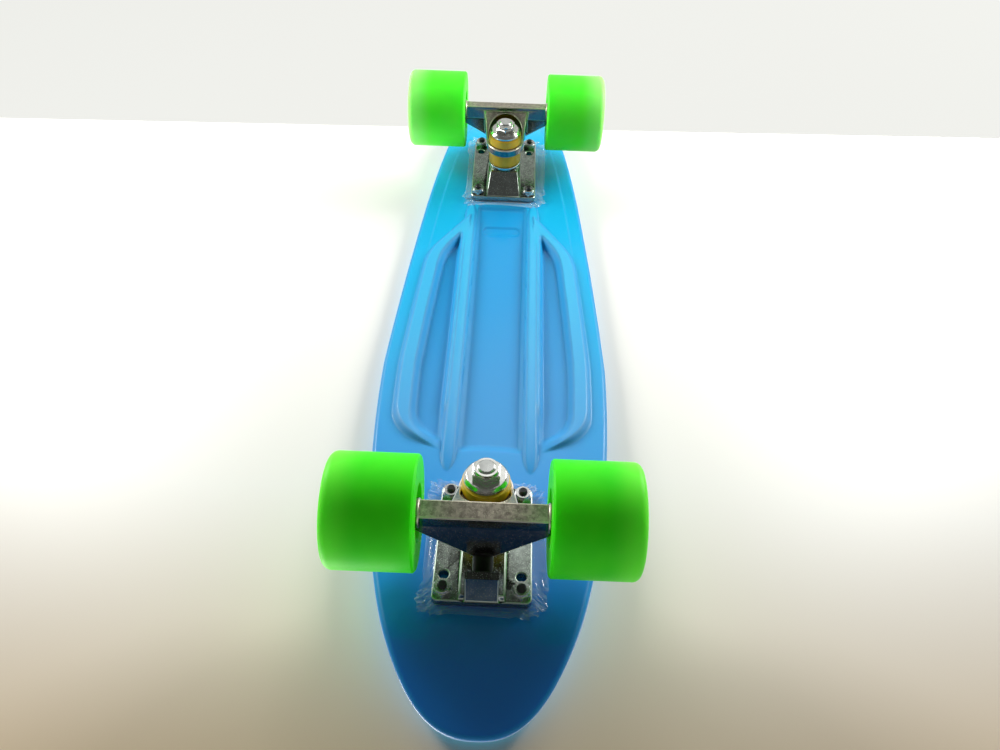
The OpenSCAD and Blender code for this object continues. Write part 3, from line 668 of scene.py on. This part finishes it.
def loop_contour(x, y, rim, side_gap, tail_gap, nose_gap, corner):
    """Distance inside one contour of a side loop, from its gaps to the outline and the slanted ends."""
    tail = past_line(x, y, LOOP_TAIL, TAIL_LEAN) - tail_gap * MM
    nose = past_line(x, y, LOOP_NOSE, NOSE_LEAN) - nose_gap * MM
    inside = round_corner(rim - side_gap * MM, tail, corner * MM)
    return round_corner(inside, nose, LOOP_NOSE_R)


def ribs(x, y):
    """How far the two ribs stand proud: a flat dome across, and a long ramp down to each tip."""
    along = np.abs(x - RIB_MIDDLE_X)
    tip = np.clip((along - RIB_HALF_LEN + RIB_END) / RIB_END, 0, 1)
    ramp = np.clip((along - RIB_HALF_LEN + RIB_RAMP) / RIB_RAMP, 0, 1)
    half = np.maximum(RIB_HALF_W * np.sqrt(1 - tip**2), 1e-6)
    across = np.clip(np.abs(np.abs(y) - RIB_Y) / half, 0, 1)
    return RIB_H * (1 - ramp**2) ** 0.7 * np.sqrt(1 - across**4) * (tip < 1)


def underside(x, y, rim):
    """Height of the underside at points given from the trucks' middle."""
    contours = {name: loop_contour(x, y, rim, *gaps) for name, gaps in LOOP_CONTOURS.items()}
    loop = between(contours["foot"], contours["crest"])
    beside_rib = ease(RIB_HALF_W, RIB_FOOT, np.abs(np.abs(y) - RIB_Y))
    outside = np.abs(y) > RIB_Y
    fade = 1 - ease(*LOOP_FADE_X, x) * (1 - ease(*LOOP_FADE_Y, np.abs(y)))
    ridge = LOOP_H * fade * loop * outside
    panel = between(contours["brow"], contours["floor"]) * beside_rib * outside
    step = TROUGH_TAIL - STEP_BULGE * (y / STEP_HALF_W) ** 2
    trough = ease(0, TROUGH_TAIL_RAMP, x - step) * (1 - ease(-TROUGH_NOSE_RAMP, 0, x - TROUGH_NOSE))
    trough = trough * beside_rib * ~outside
    border = BORDER_DEPTH * ease(-BORDER_RAMP, BORDER_RAMP, BORDER_W - rim) * ease(*BORDER_FADE_X, x)
    height = border * (1 - loop) - ridge * (1 - panel)
    height = height + PANEL_DEPTH * (panel + trough)
    proud = ribs(x, y)
    return np.where(proud > 0, np.minimum(height, -proud), height)


def nose_recess(x, y):
    """Plain shallow recess in the middle panel, where a badge could be glued."""
    off = np.hypot(x - RECESS_X, np.maximum(np.abs(y) - RECESS_HALF_LEN, 0))
    return RECESS_DEPTH * (1 - ease(*RECESS_EDGE, off))


print("ribs stand", RIB_H * 1000, "mm proud, panels lie", PANEL_DEPTH * 1000, "mm deep")

# %% [markdown]
# ## Mould the deck
# The mesh is woven from lines that run from the centre line out to the rim, like the veins of a leaf. The
# lines near the middle stay parallel to it, so the long ribs come out clean, and the last ones hug the
# rim, so its rounding is clean too. The same weave serves the underside and the top.

# %% Weave the deck
STATIONS = 640
MIDDLE_ZONE = 36 * MM
RIM_ZONE = 15 * MM
FOCUS = 52 * MM
GRIP_BORDER = 6 * MM
GRIP_DEPTH = 0.8 * MM
SAME_PLACE = 2e-6


def weave_lines(reach):
    """Places along a line from the centre, 0, to the rim, reach."""
    middle = np.minimum(MIDDLE_ZONE, 0.45 * reach)
    rim = np.minimum(RIM_ZONE, 0.25 * reach)
    inner = np.linspace(0, 1, 52) * middle
    outer = np.linspace(0, 1, 40)[1:] * (reach - rim - middle) + middle
    flat = reach - rim + (rim - RIM_R) * np.linspace(0, 1, 18)[1:]
    corner = reach - RIM_R * (1 - np.sin(np.linspace(0, math.pi / 2, 8)[1:]))
    return np.concatenate([inner, outer, flat, corner])


def rounded_edge(rim):
    """How far a face has curled back at a distance from the rim."""
    inward = np.clip(RIM_R - rim, 0, RIM_R)
    return RIM_R - np.sqrt(np.maximum(RIM_R**2 - inward**2, 0))


def deck_sheet():
    """Left half of the weave: x and y from the deck's middle, as rows of stations."""
    edge = half_outline(STATIONS)
    edge[0, 1] = edge[-1, 1] = 0
    spine = np.clip(edge[:, 0], -DECK_LEN / 2 + FOCUS, DECK_LEN / 2 - FOCUS)
    out = edge - np.stack([spine, np.zeros(STATIONS)], -1)
    reach = np.linalg.norm(out, axis=1)
    rows = np.array([weave_lines(r) / r for r in reach])
    return spine[:, None] + rows * out[:, :1], rows * out[:, 1:]


def new_object(name, points, faces):
    """Mesh object made of points and faces."""
    mesh = bpy.data.meshes.new(name)
    mesh.from_pydata(points, [], faces)
    made = bpy.data.objects.new(name, mesh)
    bpy.context.scene.collection.objects.link(made)
    return made


def join_points(made, distance=SAME_PLACE):
    """Joins the points of an object that lie at one place."""
    join = made.modifiers.new("join", "WELD")
    join.merge_threshold = distance


def apply_modifiers(made):
    """Turns an object's modifiers into its mesh."""
    graph = bpy.context.evaluated_depsgraph_get()
    mesh = bpy.data.meshes.new_from_object(made.evaluated_get(graph), depsgraph=graph)
    made.modifiers.clear()
    made.data = mesh
    return made


def grid_faces(rows, columns, first=0):
    """Quads between neighbouring points of a grid."""
    index = np.arange(rows * columns).reshape(rows, columns) + first
    corners = (index[:-1, :-1], index[1:, :-1], index[1:, 1:], index[:-1, 1:])
    return np.stack(corners, -1).reshape(-1, 4)


def mould_deck():
    """The whole deck: underside, wall and top of both halves."""
    x, y = deck_sheet()
    rim = rim_distance(x, y)
    rim[:, -1] = 0
    low = underside(x + TRUCK_BACK, y, rim) + nose_recess(x + TRUCK_BACK, y)
    low = low + rounded_edge(rim)
    high = DECK_T - GRIP_DEPTH * ease(GRIP_BORDER, GRIP_BORDER + 1 * MM, rim) - rounded_edge(rim)
    wall = low[:, -1:] + (high[:, -1:] - low[:, -1:]) * np.linspace(0, 1, 4)[1:-1]
    rows, columns = x.shape
    edge_x = np.repeat(x[:, -1:], wall.shape[1], 1)
    edge_y = np.repeat(y[:, -1:], wall.shape[1], 1)
    all_x = np.concatenate([x, edge_x, x[:, ::-1]], 1)
    all_y = np.concatenate([y, edge_y, y[:, ::-1]], 1)
    height = np.concatenate([low, wall, high[:, ::-1]], 1)
    left = on_deck(all_x, all_y, height).reshape(-1, 3)
    faces = grid_faces(rows, all_x.shape[1])
    both = np.concatenate([left, left * (1, -1, 1)])
    both_faces = np.concatenate([faces, faces[:, ::-1] + len(left)])
    made = new_object("deck_moulding", both.tolist(), both_faces.tolist())
    join_points(made)
    return made


deck = mould_deck()
print("the weave has", len(deck.data.vertices), "points")

# %% [markdown]
# ## Bolt holes and grip
# The bolts' heads sit in countersinks, which are cut out of the moulding with a boolean. The riding
# side has a grip of small raised squares. Each is a little frustum that stands on the panel and follows
# its bend, and the squares make room for the bolts and stop short of the border.

# %% Cut the countersinks
HEAD_R = 4.7 * MM
HEAD_H = 2.6 * MM
HOLE_R = 2.7 * MM
CORNERS = ((-1, -1), (1, -1), (1, 1), (-1, 1))


def bolt_places():
    """Frames of the eight deck bolts."""
    for end, place in TRUCKS.items():
        for across in (-1, 1):
            for along in (-1, 1):
                yield place @ Matrix.Translation((along * BOLT_DX / 2, across * BOLT_DY / 2, 0))


def lathe(profile, name, place=Matrix.Identity(4), segments=64):
    """Turned solid: profile is a list of (radius, height), closed about the Z axis."""
    points, faces = [], []
    for number in range(segments):
        angle = 2 * math.pi * number / segments
        for radius, height in profile:
            point = Vector((radius * math.cos(angle), radius * math.sin(angle), height))
            points.append(tuple(place @ point))
    count = len(profile)
    for number in range(segments):
        here, there = number * count, (number + 1) % segments * count
        for row in range(count - 1):
            faces.append((here + row, there + row, there + row + 1, here + row + 1))
    made = new_object(name, points, faces)
    join_points(made, SAME_PLACE / 2)
    return apply_modifiers(made)


def join_objects(parts, name):
    """One object out of several."""
    points, faces, first = [], [], 0
    for part in parts:
        points += [tuple(v.co) for v in part.data.vertices]
        faces += [tuple(i + first for i in p.vertices) for p in part.data.polygons]
        first = len(points)
        bpy.data.objects.remove(part)
    return new_object(name, points, faces)


head_top = GRIP_DEPTH - DECK_T
cutter_profile = [
    (0, 2 * MM), (HOLE_R, 2 * MM), (HOLE_R, head_top + HEAD_H), (HEAD_R + 0.3 * MM, head_top),
    (HEAD_R + 0.6 * MM, head_top - 3 * MM), (0, head_top - 3 * MM),
]
cutters = [lathe(cutter_profile, "cutter", place) for place in bolt_places()]
cutter = join_objects(cutters, "countersinks")
cut = deck.modifiers.new("countersinks", "BOOLEAN")
cut.object = cutter
cut.solver = "EXACT"
apply_modifiers(deck)
bpy.data.objects.remove(cutter)
print("the cut deck has", len(deck.data.polygons), "faces")

# %% Raise the grip squares
PITCH = 8 * MM
SQUARE = 5.4 * MM
SQUARE_TOP = 4.2 * MM
SQUARE_H = 0.85 * MM
GRIP_MARGIN = 8.5 * MM
BOLT_MARGIN = 8.5 * MM
SQUARE_ROOT = 0.2 * MM
SQUARE_SHOULDER = 0.45


def grip_squares():
    """All the raised squares of the riding side, as one piece."""
    bolts = [place.translation.xy for place in bolt_places()]
    rows = int(DECK_LEN / 2 / PITCH)
    columns = int(DECK_HALF_W / PITCH)
    points, faces = [], []
    for row in range(-rows, rows + 1):
        for column in range(-columns, columns + 1):
            x, y = row * PITCH, column * PITCH
            inside = abs(x) < DECK_LEN / 2 and rim_tree.find((x, y, 0))[2] > GRIP_MARGIN
            width = np.interp(x, outline[:, 0], outline[:, 1])
            if not inside or abs(y) > width:
                continue
            if min((Vector((x, y)) - bolt).length for bolt in bolts) < BOLT_MARGIN:
                continue
            first = len(points)
            shoulder = SQUARE_SHOULDER * SQUARE_H
            for size, height in ((SQUARE, -SQUARE_ROOT), (SQUARE, shoulder), (SQUARE_TOP, SQUARE_H)):
                for sx, sy in CORNERS:
                    points.append((x + sx * size / 2, y + sy * size / 2, height))
            for ring in (0, 4):
                for corner in range(4):
                    a, b = first + ring + corner, first + ring + (corner + 1) % 4
                    faces.append((a, b, b + 4, a + 4))
            faces.append((first + 8, first + 9, first + 10, first + 11))
            faces.append((first + 3, first + 2, first + 1, first))
    flat = np.array(points)
    bent = on_deck(flat[:, 0], flat[:, 1], flat[:, 2] + DECK_T - GRIP_DEPTH)
    made = new_object("deck_grip", bent.tolist(), faces)
    soften = made.modifiers.new("soften", "BEVEL")
    soften.width = 0.35 * MM
    soften.segments = 2
    soften.limit_method = "ANGLE"
    return apply_modifiers(made)


def finish_piece(made, body, slot, replaced=(), smooth=60):
    """Smooths a piece, gives it its finish, and says what it rides on and stands for."""
    made.data.materials.clear()
    made.data.materials.append(MATERIALS[slot])
    made.data.shade_smooth()
    made.data.set_sharp_from_angle(angle=math.radians(smooth))
    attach(made, body)
    if replaced:
        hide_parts(*replaced)
    return made


def mark_relief(made):
    """Stores on every point of the underside how far it is sunk or stands proud, and how steep it is."""
    mesh = made.data
    points = np.zeros(3 * len(mesh.vertices))
    normals = np.zeros(3 * len(mesh.vertices))
    mesh.vertices.foreach_get("co", points)
    mesh.vertex_normals.foreach_get("vector", normals)
    points, normals = points.reshape(-1, 3), normals.reshape(-1, 3)
    z, slope = side_profile(points[:, 0] + TRUCK_BACK)
    height = (points[:, 2] - MIDDLE_Z - z) / np.cos(slope)
    below = height < 0.5 * DECK_T
    level = np.abs(normals[:, 0] * np.sin(slope) - normals[:, 2] * np.cos(slope))
    # The deck's paint turns these marks into painted shade on the sunk floors and flanks and a painted highlight
    # on the proud crests.
    marks = {
        "under": 1 - ease(0.2 * DECK_T, 0.8 * DECK_T, height),
        "sunk": ease(0.3 * MM, PANEL_DEPTH, height) * below,
        "proud": ease(0.6 * MM, RIB_H, -height) * below,
        "steep": ease(0.004, 0.07, 1 - level) * (1 - ease(0.45, 0.7, 1 - level)) * below,
    }
    for name, values in marks.items():
        mark = mesh.attributes.new(name, "FLOAT", "POINT")
        mark.data.foreach_set("value", values.astype(float))


grip = grip_squares()
mark_relief(deck)
finish_piece(deck, "board", "deck", ["deck"])
finish_piece(grip, "board", "deck", smooth=30)
print("the grip has", len(grip.data.polygons), "faces")

# %% [markdown]
# ## Round the castings
# Zinc castings leave their mould with soft edges. Each casting is copied from its construction solid,
# its flat faces are joined up and its edges rolled over. The narrow faces that roll over a standing edge
# are then marked, and the metal's finish brightens by that mark as a painted highlight.

# %% Castings with rolled edges
BEAM_HALF = 35 * MM
SHOULDER_R = 7.6 * MM
SHOULDER_MARGIN = 0.3 * MM
MOUTH_MARGIN = 15 * MM
FLAT_ANGLE = math.radians(0.6)


def turns(mesh):
    """Each edge, its faces, and by how many degrees they turn: above 0 where the edge stands out."""
    normals = np.zeros(3 * len(mesh.polygons))
    mesh.polygons.foreach_get("normal", normals)
    normals = normals.reshape(-1, 3)
    faces_of = {}
    for polygon in mesh.polygons:
        corners = list(polygon.vertices)
        for a, b in zip(corners, corners[1:] + corners[:1]):
            faces_of.setdefault((min(a, b), max(a, b)), []).append((polygon.index, a, b))
    for key, sides in faces_of.items():
        (first, a, b), last = sides[0], sides[-1][0]
        along = mesh.vertices[b].co - mesh.vertices[a].co
        bend = np.cross(normals[first], normals[last])
        angle = math.degrees(math.asin(min(1, np.linalg.norm(bend))))
        if normals[first] @ normals[last] < 0:
            angle = 180 - angle
        yield key, (first, last), math.copysign(angle, bend @ np.array(along))


def choose_edges(made, crowded, sharp=24):
    """Gives every sharp edge to the bevel, but for those within reach of the crowded places."""
    mesh = made.data
    chosen = set()
    for (a, b), _, angle in turns(mesh):
        middle = (mesh.vertices[a].co + mesh.vertices[b].co) / 2
        clear = all((middle - spot).length > reach for spot, reach in crowded)
        if abs(angle) > sharp and clear:
            chosen.add((a, b))
    weight = mesh.attributes.new("bevel_weight_edge", "FLOAT", "EDGE")
    weight.data.foreach_set("value", [float(tuple(sorted(e.vertices)) in chosen) for e in mesh.edges])


def mark_edges(made, narrow, low=14, high=20):
    """Marks the narrow faces that roll over an edge with 1 and every other face with 0."""
    mesh = made.data
    areas = np.zeros(len(mesh.polygons))
    mesh.polygons.foreach_get("area", areas)
    turn, longest = np.zeros_like(areas), np.zeros_like(areas)
    for (a, b), faces, angle in turns(mesh):
        length = (mesh.vertices[a].co - mesh.vertices[b].co).length
        for face in faces:
            longest[face] = max(longest[face], length)
            turn[face] = max(turn[face], angle)
    mark = mesh.attributes.new("edge", "FLOAT", "FACE")
    mark.data.foreach_set("value", ease(low, high, turn) * (areas < narrow * longest))


def rolled_casting(end, part, width, body):
    """Copy of a casting's solid with its edges rolled over and marked."""
    name = end + "_" + part
    node = frame["nodes"][name]
    made = bpy.data.objects.new(name + "_casting", node.data.copy())
    made.matrix_world = node.matrix_world
    bpy.context.scene.collection.objects.link(made)
    join_points(made)
    flats = made.modifiers.new("flats", "DECIMATE")
    flats.decimate_type = "DISSOLVE"
    flats.angle_limit = FLAT_ANGLE
    apply_modifiers(made)
    crowded = [(TRUCKS[end] @ PIVOT_MOUTH, MOUTH_MARGIN)]
    for side in SIDES:
        root = Vector(joints[f"{end}_{side}_spin"]["pos_m"])
        root.y = SIDES[side] * BEAM_HALF
        crowded.append((root, SHOULDER_R + SHOULDER_MARGIN))
    choose_edges(made, crowded)
    roll = made.modifiers.new("roll", "BEVEL")
    roll.width = width
    roll.segments = 3
    roll.limit_method = "WEIGHT"
    roll.use_clamp_overlap = False
    apply_modifiers(made)
    mark_edges(made, 0.75 * width)
    return finish_piece(made, body, part, [name], smooth=11)


for end in ENDS:
    for part, width, body in (("hanger", 0.8 * MM, end + "_truck"), ("baseplate", 0.7 * MM, "board")):
        casting = rolled_casting(end, part, width, body)
        print(casting.name, "has", len(casting.data.polygons), "faces")

# %% [markdown]
# ## Break the edges of the hardware
# Nuts, washers and bolts keep their construction solids. A fine bevel on them catches the light the way
# a machined edge does.

# %% Bevel the hardware
# Widths of the bevels in mm.
HARDWARE = {
    "deck_nuts": 0.25, "kingpin_nut": 0.3, "upper_washer": 0.2, "lower_washer": 0.2,
    "kingpin": 0.4, "deck_bolts": 0.25, "axle": 0.3, "axle_nuts": 0.25,
}
for end in ENDS:
    for part, width in HARDWARE.items():
        node = frame["nodes"][end + "_" + part]
        join_points(node)
        broken = node.modifiers.new("broken_edge", "BEVEL")
        broken.width = width * MM
        broken.segments = 2
        broken.limit_method = "ANGLE"
        broken.angle_limit = math.radians(28)
        broken.harden_normals = True
print("beveled", 2 * len(HARDWARE), "solids")

# %% [markdown]
# ## Crumple the film
# A torn piece of clear packing film is pinched under each baseplate. Around the plate it stands up in
# crumples: a ring of facets that runs from under the plate's edge to a ragged outline. The facets stay
# flat, so each fold flashes on its own.

# %% Film
PLATE_HALF_X = 38.0 * MM
PLATE_HALF_Y = 26.3 * MM
FILM_T = 0.12 * MM
FILM_AROUND = 150
FILM_OUT = 8
FILM_TUCK = 2.5 * MM
FILM_SWAY = 0.55 * MM
FILM_WAVES = (1, 2, 3, 5, 8, 13)
FILM_SQUARENESS = 0.22


def film_sheet(end, seed):
    """Crumpled ring of film around one baseplate; the seed decides its folds."""
    chance = np.random.default_rng(seed)
    around = np.arange(FILM_AROUND) / FILM_AROUND * 2 * math.pi
    waves = [
        (number, chance.uniform(0, 2 * math.pi), chance.uniform(0.3, 1))
        for number in FILM_WAVES
    ]
    ragged = sum(size * np.sin(number * around + phase) for number, phase, size in waves) / 2.5
    torn = np.clip(7.2 + 2.6 * ragged + chance.uniform(-0.9, 0.9, FILM_AROUND), 3.5, 11) * MM
    ring_x = np.sign(np.cos(around)) * np.abs(np.cos(around)) ** FILM_SQUARENESS
    ring_y = np.sign(np.sin(around)) * np.abs(np.sin(around)) ** FILM_SQUARENESS
    rows = []
    for row in range(FILM_OUT):
        out = row / (FILM_OUT - 1)
        reach = -FILM_TUCK + (torn + FILM_TUCK) * out
        x = ring_x * (PLATE_HALF_X + reach)
        y = ring_y * (PLATE_HALF_Y + reach)
        sway = FILM_SWAY * out
        x = x + chance.uniform(-sway, sway, FILM_AROUND)
        y = y + chance.uniform(-sway, sway, FILM_AROUND)
        fold = np.abs(((around * 4.3 + 0.8 * ragged + 0.35 * row) / math.pi) % 2 - 1)
        jitter = chance.uniform(-0.45, 0.45, FILM_AROUND) * min(1, 2 * out)
        lift = 0.25 + out * (0.3 + 2.2 * fold**2) + jitter
        rows.append(np.stack([x, y, np.maximum(lift, 0.2) * MM], -1))
    points = np.concatenate(rows)
    faces = []
    for row in range(FILM_OUT - 1):
        for spoke in range(FILM_AROUND):
            a, b = row * FILM_AROUND + spoke, row * FILM_AROUND + (spoke + 1) % FILM_AROUND
            c, d = b + FILM_AROUND, a + FILM_AROUND
            faces += [(a, b, c), (a, c, d)] if (row + spoke) % 2 else [(a, b, d), (b, c, d)]
    placed = [tuple(TRUCKS[end] @ Vector(point)) for point in points]
    made = new_object(end + "_film_sheet", placed, faces)
    body = made.modifiers.new("thickness", "SOLIDIFY")
    body.thickness = FILM_T
    apply_modifiers(made)
    finish_piece(made, "board", "film", [end + "_film"])
    made.data.shade_flat()
    return made


for seed, end in enumerate(ENDS, 3):
    sheet = film_sheet(end, seed)
    print(sheet.name, "has", len(sheet.data.polygons), "facets")

# %% [markdown]
# ## Stage and light
# The board is seen in two ways: on its back, as it lies on the table, and standing on its wheels. Each
# way has a pale floor of its own, which shows its face to one side only, so that neither hides the board
# from the other side. The floor also glows a little of itself. The table ends where the nose reaches,
# and the pale room behind it is the wall. Two lamps stand low beside the nose, a soft card hangs
# between them, and a third lamp lights the riding side.

# %% Stage
STAGE_GAP = 0.2 * MM
TABLE_REACH = 3
TABLE_CUT_BACK = 3 * MM
TABLE_SLANT = 0.033
TABLE_OPENING = 0.97
FLOOR_HALF = 60
HIDDEN_FROM = ["diffuse", "glossy", "transmission", "shadow", "volume_scatter"]


def one_sided(name, near, far, fade, glow=0.0):
    """Matt surface, seen only from the side its normal points to, with a colour that drifts along X."""
    paint = Paint(name)
    drift = paint.place().part("X").map(*fade)
    haze = paint.noise(3, 2).map(0.3, 0.7, 0.0, 0.06)
    colour = (drift + haze).mix(near, far)
    paint.shade(
        base_color=colour,
        roughness=0.42,
        specular_ior_level=0.35,
        emission_color=(1.0, 1.0, 0.985),
        emission_strength=glow,
    )
    back = paint.node("NewGeometry", {}, {}, "Backfacing")
    clear = paint.node("BsdfTransparent", {}, {})
    return paint.show(back, paint.main, clear)


def stage_sheet(name, points, faces, material):
    """Piece of the stage: the camera sees it, and it neither lights nor shades the board."""
    made = new_object(name, points, faces)
    made.data.materials.append(material)
    for kind in HIDDEN_FROM:
        setattr(made, "visible_" + kind, False)


def table_ring(z, reach, edge_x, slant, opening):
    """Table with an opening under the deck: each point of the opening is joined to the table's edge."""
    inner = np.concatenate([outline[::16], (outline * (1, -1))[::-16]]) * opening
    steps = np.stack([
        edge_x / np.maximum(inner[:, 0] - slant * inner[:, 1], 1e-6),
        reach / np.maximum(-inner[:, 0], 1e-6),
        reach / np.maximum(np.abs(inner[:, 1]), 1e-6),
    ])
    outer = inner * steps.min(0)[:, None]
    count = len(inner)
    points = [(x, y, z) for x, y in np.concatenate([inner, outer])]
    faces = []
    for a in range(count):
        b = (a + 1) % count
        faces.append((a, a + count, b + count, b))
    return points, faces


table_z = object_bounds()[1].z + STAGE_GAP
table_edge = DECK_LEN / 2 - TABLE_CUT_BACK
points, faces = table_ring(table_z, TABLE_REACH, table_edge, TABLE_SLANT, TABLE_OPENING)
# The table is painted darker and warmer towards the tail: painted shade, where the lamps' light falls off away
# from the nose.
table_paint = one_sided("table_top", (0.73, 0.51, 0.25), (0.86, 0.86, 0.83), (-0.42, -0.10))
stage_sheet("table", points, faces, table_paint)
floor_z = cad_low.z - STAGE_GAP
corners = [(sx * FLOOR_HALF, sy * FLOOR_HALF, floor_z) for sx, sy in CORNERS]
floor_paint = one_sided("pale_floor", (0.40, 0.40, 0.395), (0.42, 0.42, 0.415), (-2, 2), 0.46)
stage_sheet("floor", corners, [(0, 1, 2, 3)], floor_paint)
print("the table lies at", round(table_z * 1000, 1), "mm, the floor at", round(floor_z * 1000, 1), "mm")


# %% Light
UNDERSIDE = (0, 0, 0.09)
LOW_LAMP = ((0.26, 0.26), 4.5, (1.0, 0.99, 0.96))


def lamp(name, place, aim, size, watts, colour):
    """Rectangular lamp, turned to the place that it lights."""
    data = bpy.data.lights.new(name, "AREA")
    data.shape = "RECTANGLE"
    data.size, data.size_y = size
    data.energy = watts
    data.color = colour
    made = bpy.data.objects.new(name, data)
    made.location = place
    made.rotation_euler = (Vector(aim) - Vector(place)).to_track_quat("-Z", "Y").to_euler()
    made.visible_camera = False
    bpy.context.scene.collection.objects.link(made)


def room():
    """Pale room above; dim below, and a little brighter behind the nose."""
    world = bpy.data.worlds.new("room")
    bpy.context.scene.world = world
    world.use_nodes = True
    world.node_tree.nodes.clear()
    air = Tree(world.node_tree)
    toward = air.node("TexCoord", {}, {}, "Generated")
    x, y, z = (toward.part(axis) for axis in "XYZ")
    below = x.map(0.62, 0.85, 0.14, 0.7)
    sides = y.map(-1.0, 1.0, 0.84, 0.92)
    overhead = x.map(-0.2, 0.6, 0.40, 0.88)
    above = z.map(0.25, 0.5).blend(sides, overhead)
    light = z.map(-0.05, -0.01).blend(below, above)
    background = air.node("Background", {}, {"Color": (0.995, 1.0, 0.955), "Strength": light})
    output = air.tree.nodes.new("ShaderNodeOutputWorld")
    air.plug(output.inputs["Surface"], background)


room()
lamp("lamp_left", (0.245, -0.533, -0.229), UNDERSIDE, *LOW_LAMP)
lamp("lamp_right", (0.300, 0.476, -0.229), UNDERSIDE, *LOW_LAMP)
lamp("card", (0.38, 0.03, -0.40), (0.1, 0, 0.09), (0.16, 0.34), 0.20, (1.0, 1.0, 1.0))
lamp("lamp_above", (-0.7, -0.9, 1.5), (0, 0, 0.05), (1.2, 1.2), 22, (1.0, 0.98, 0.95))
bpy.context.scene.view_settings.view_transform = "Standard"
print("stage and lights are set")
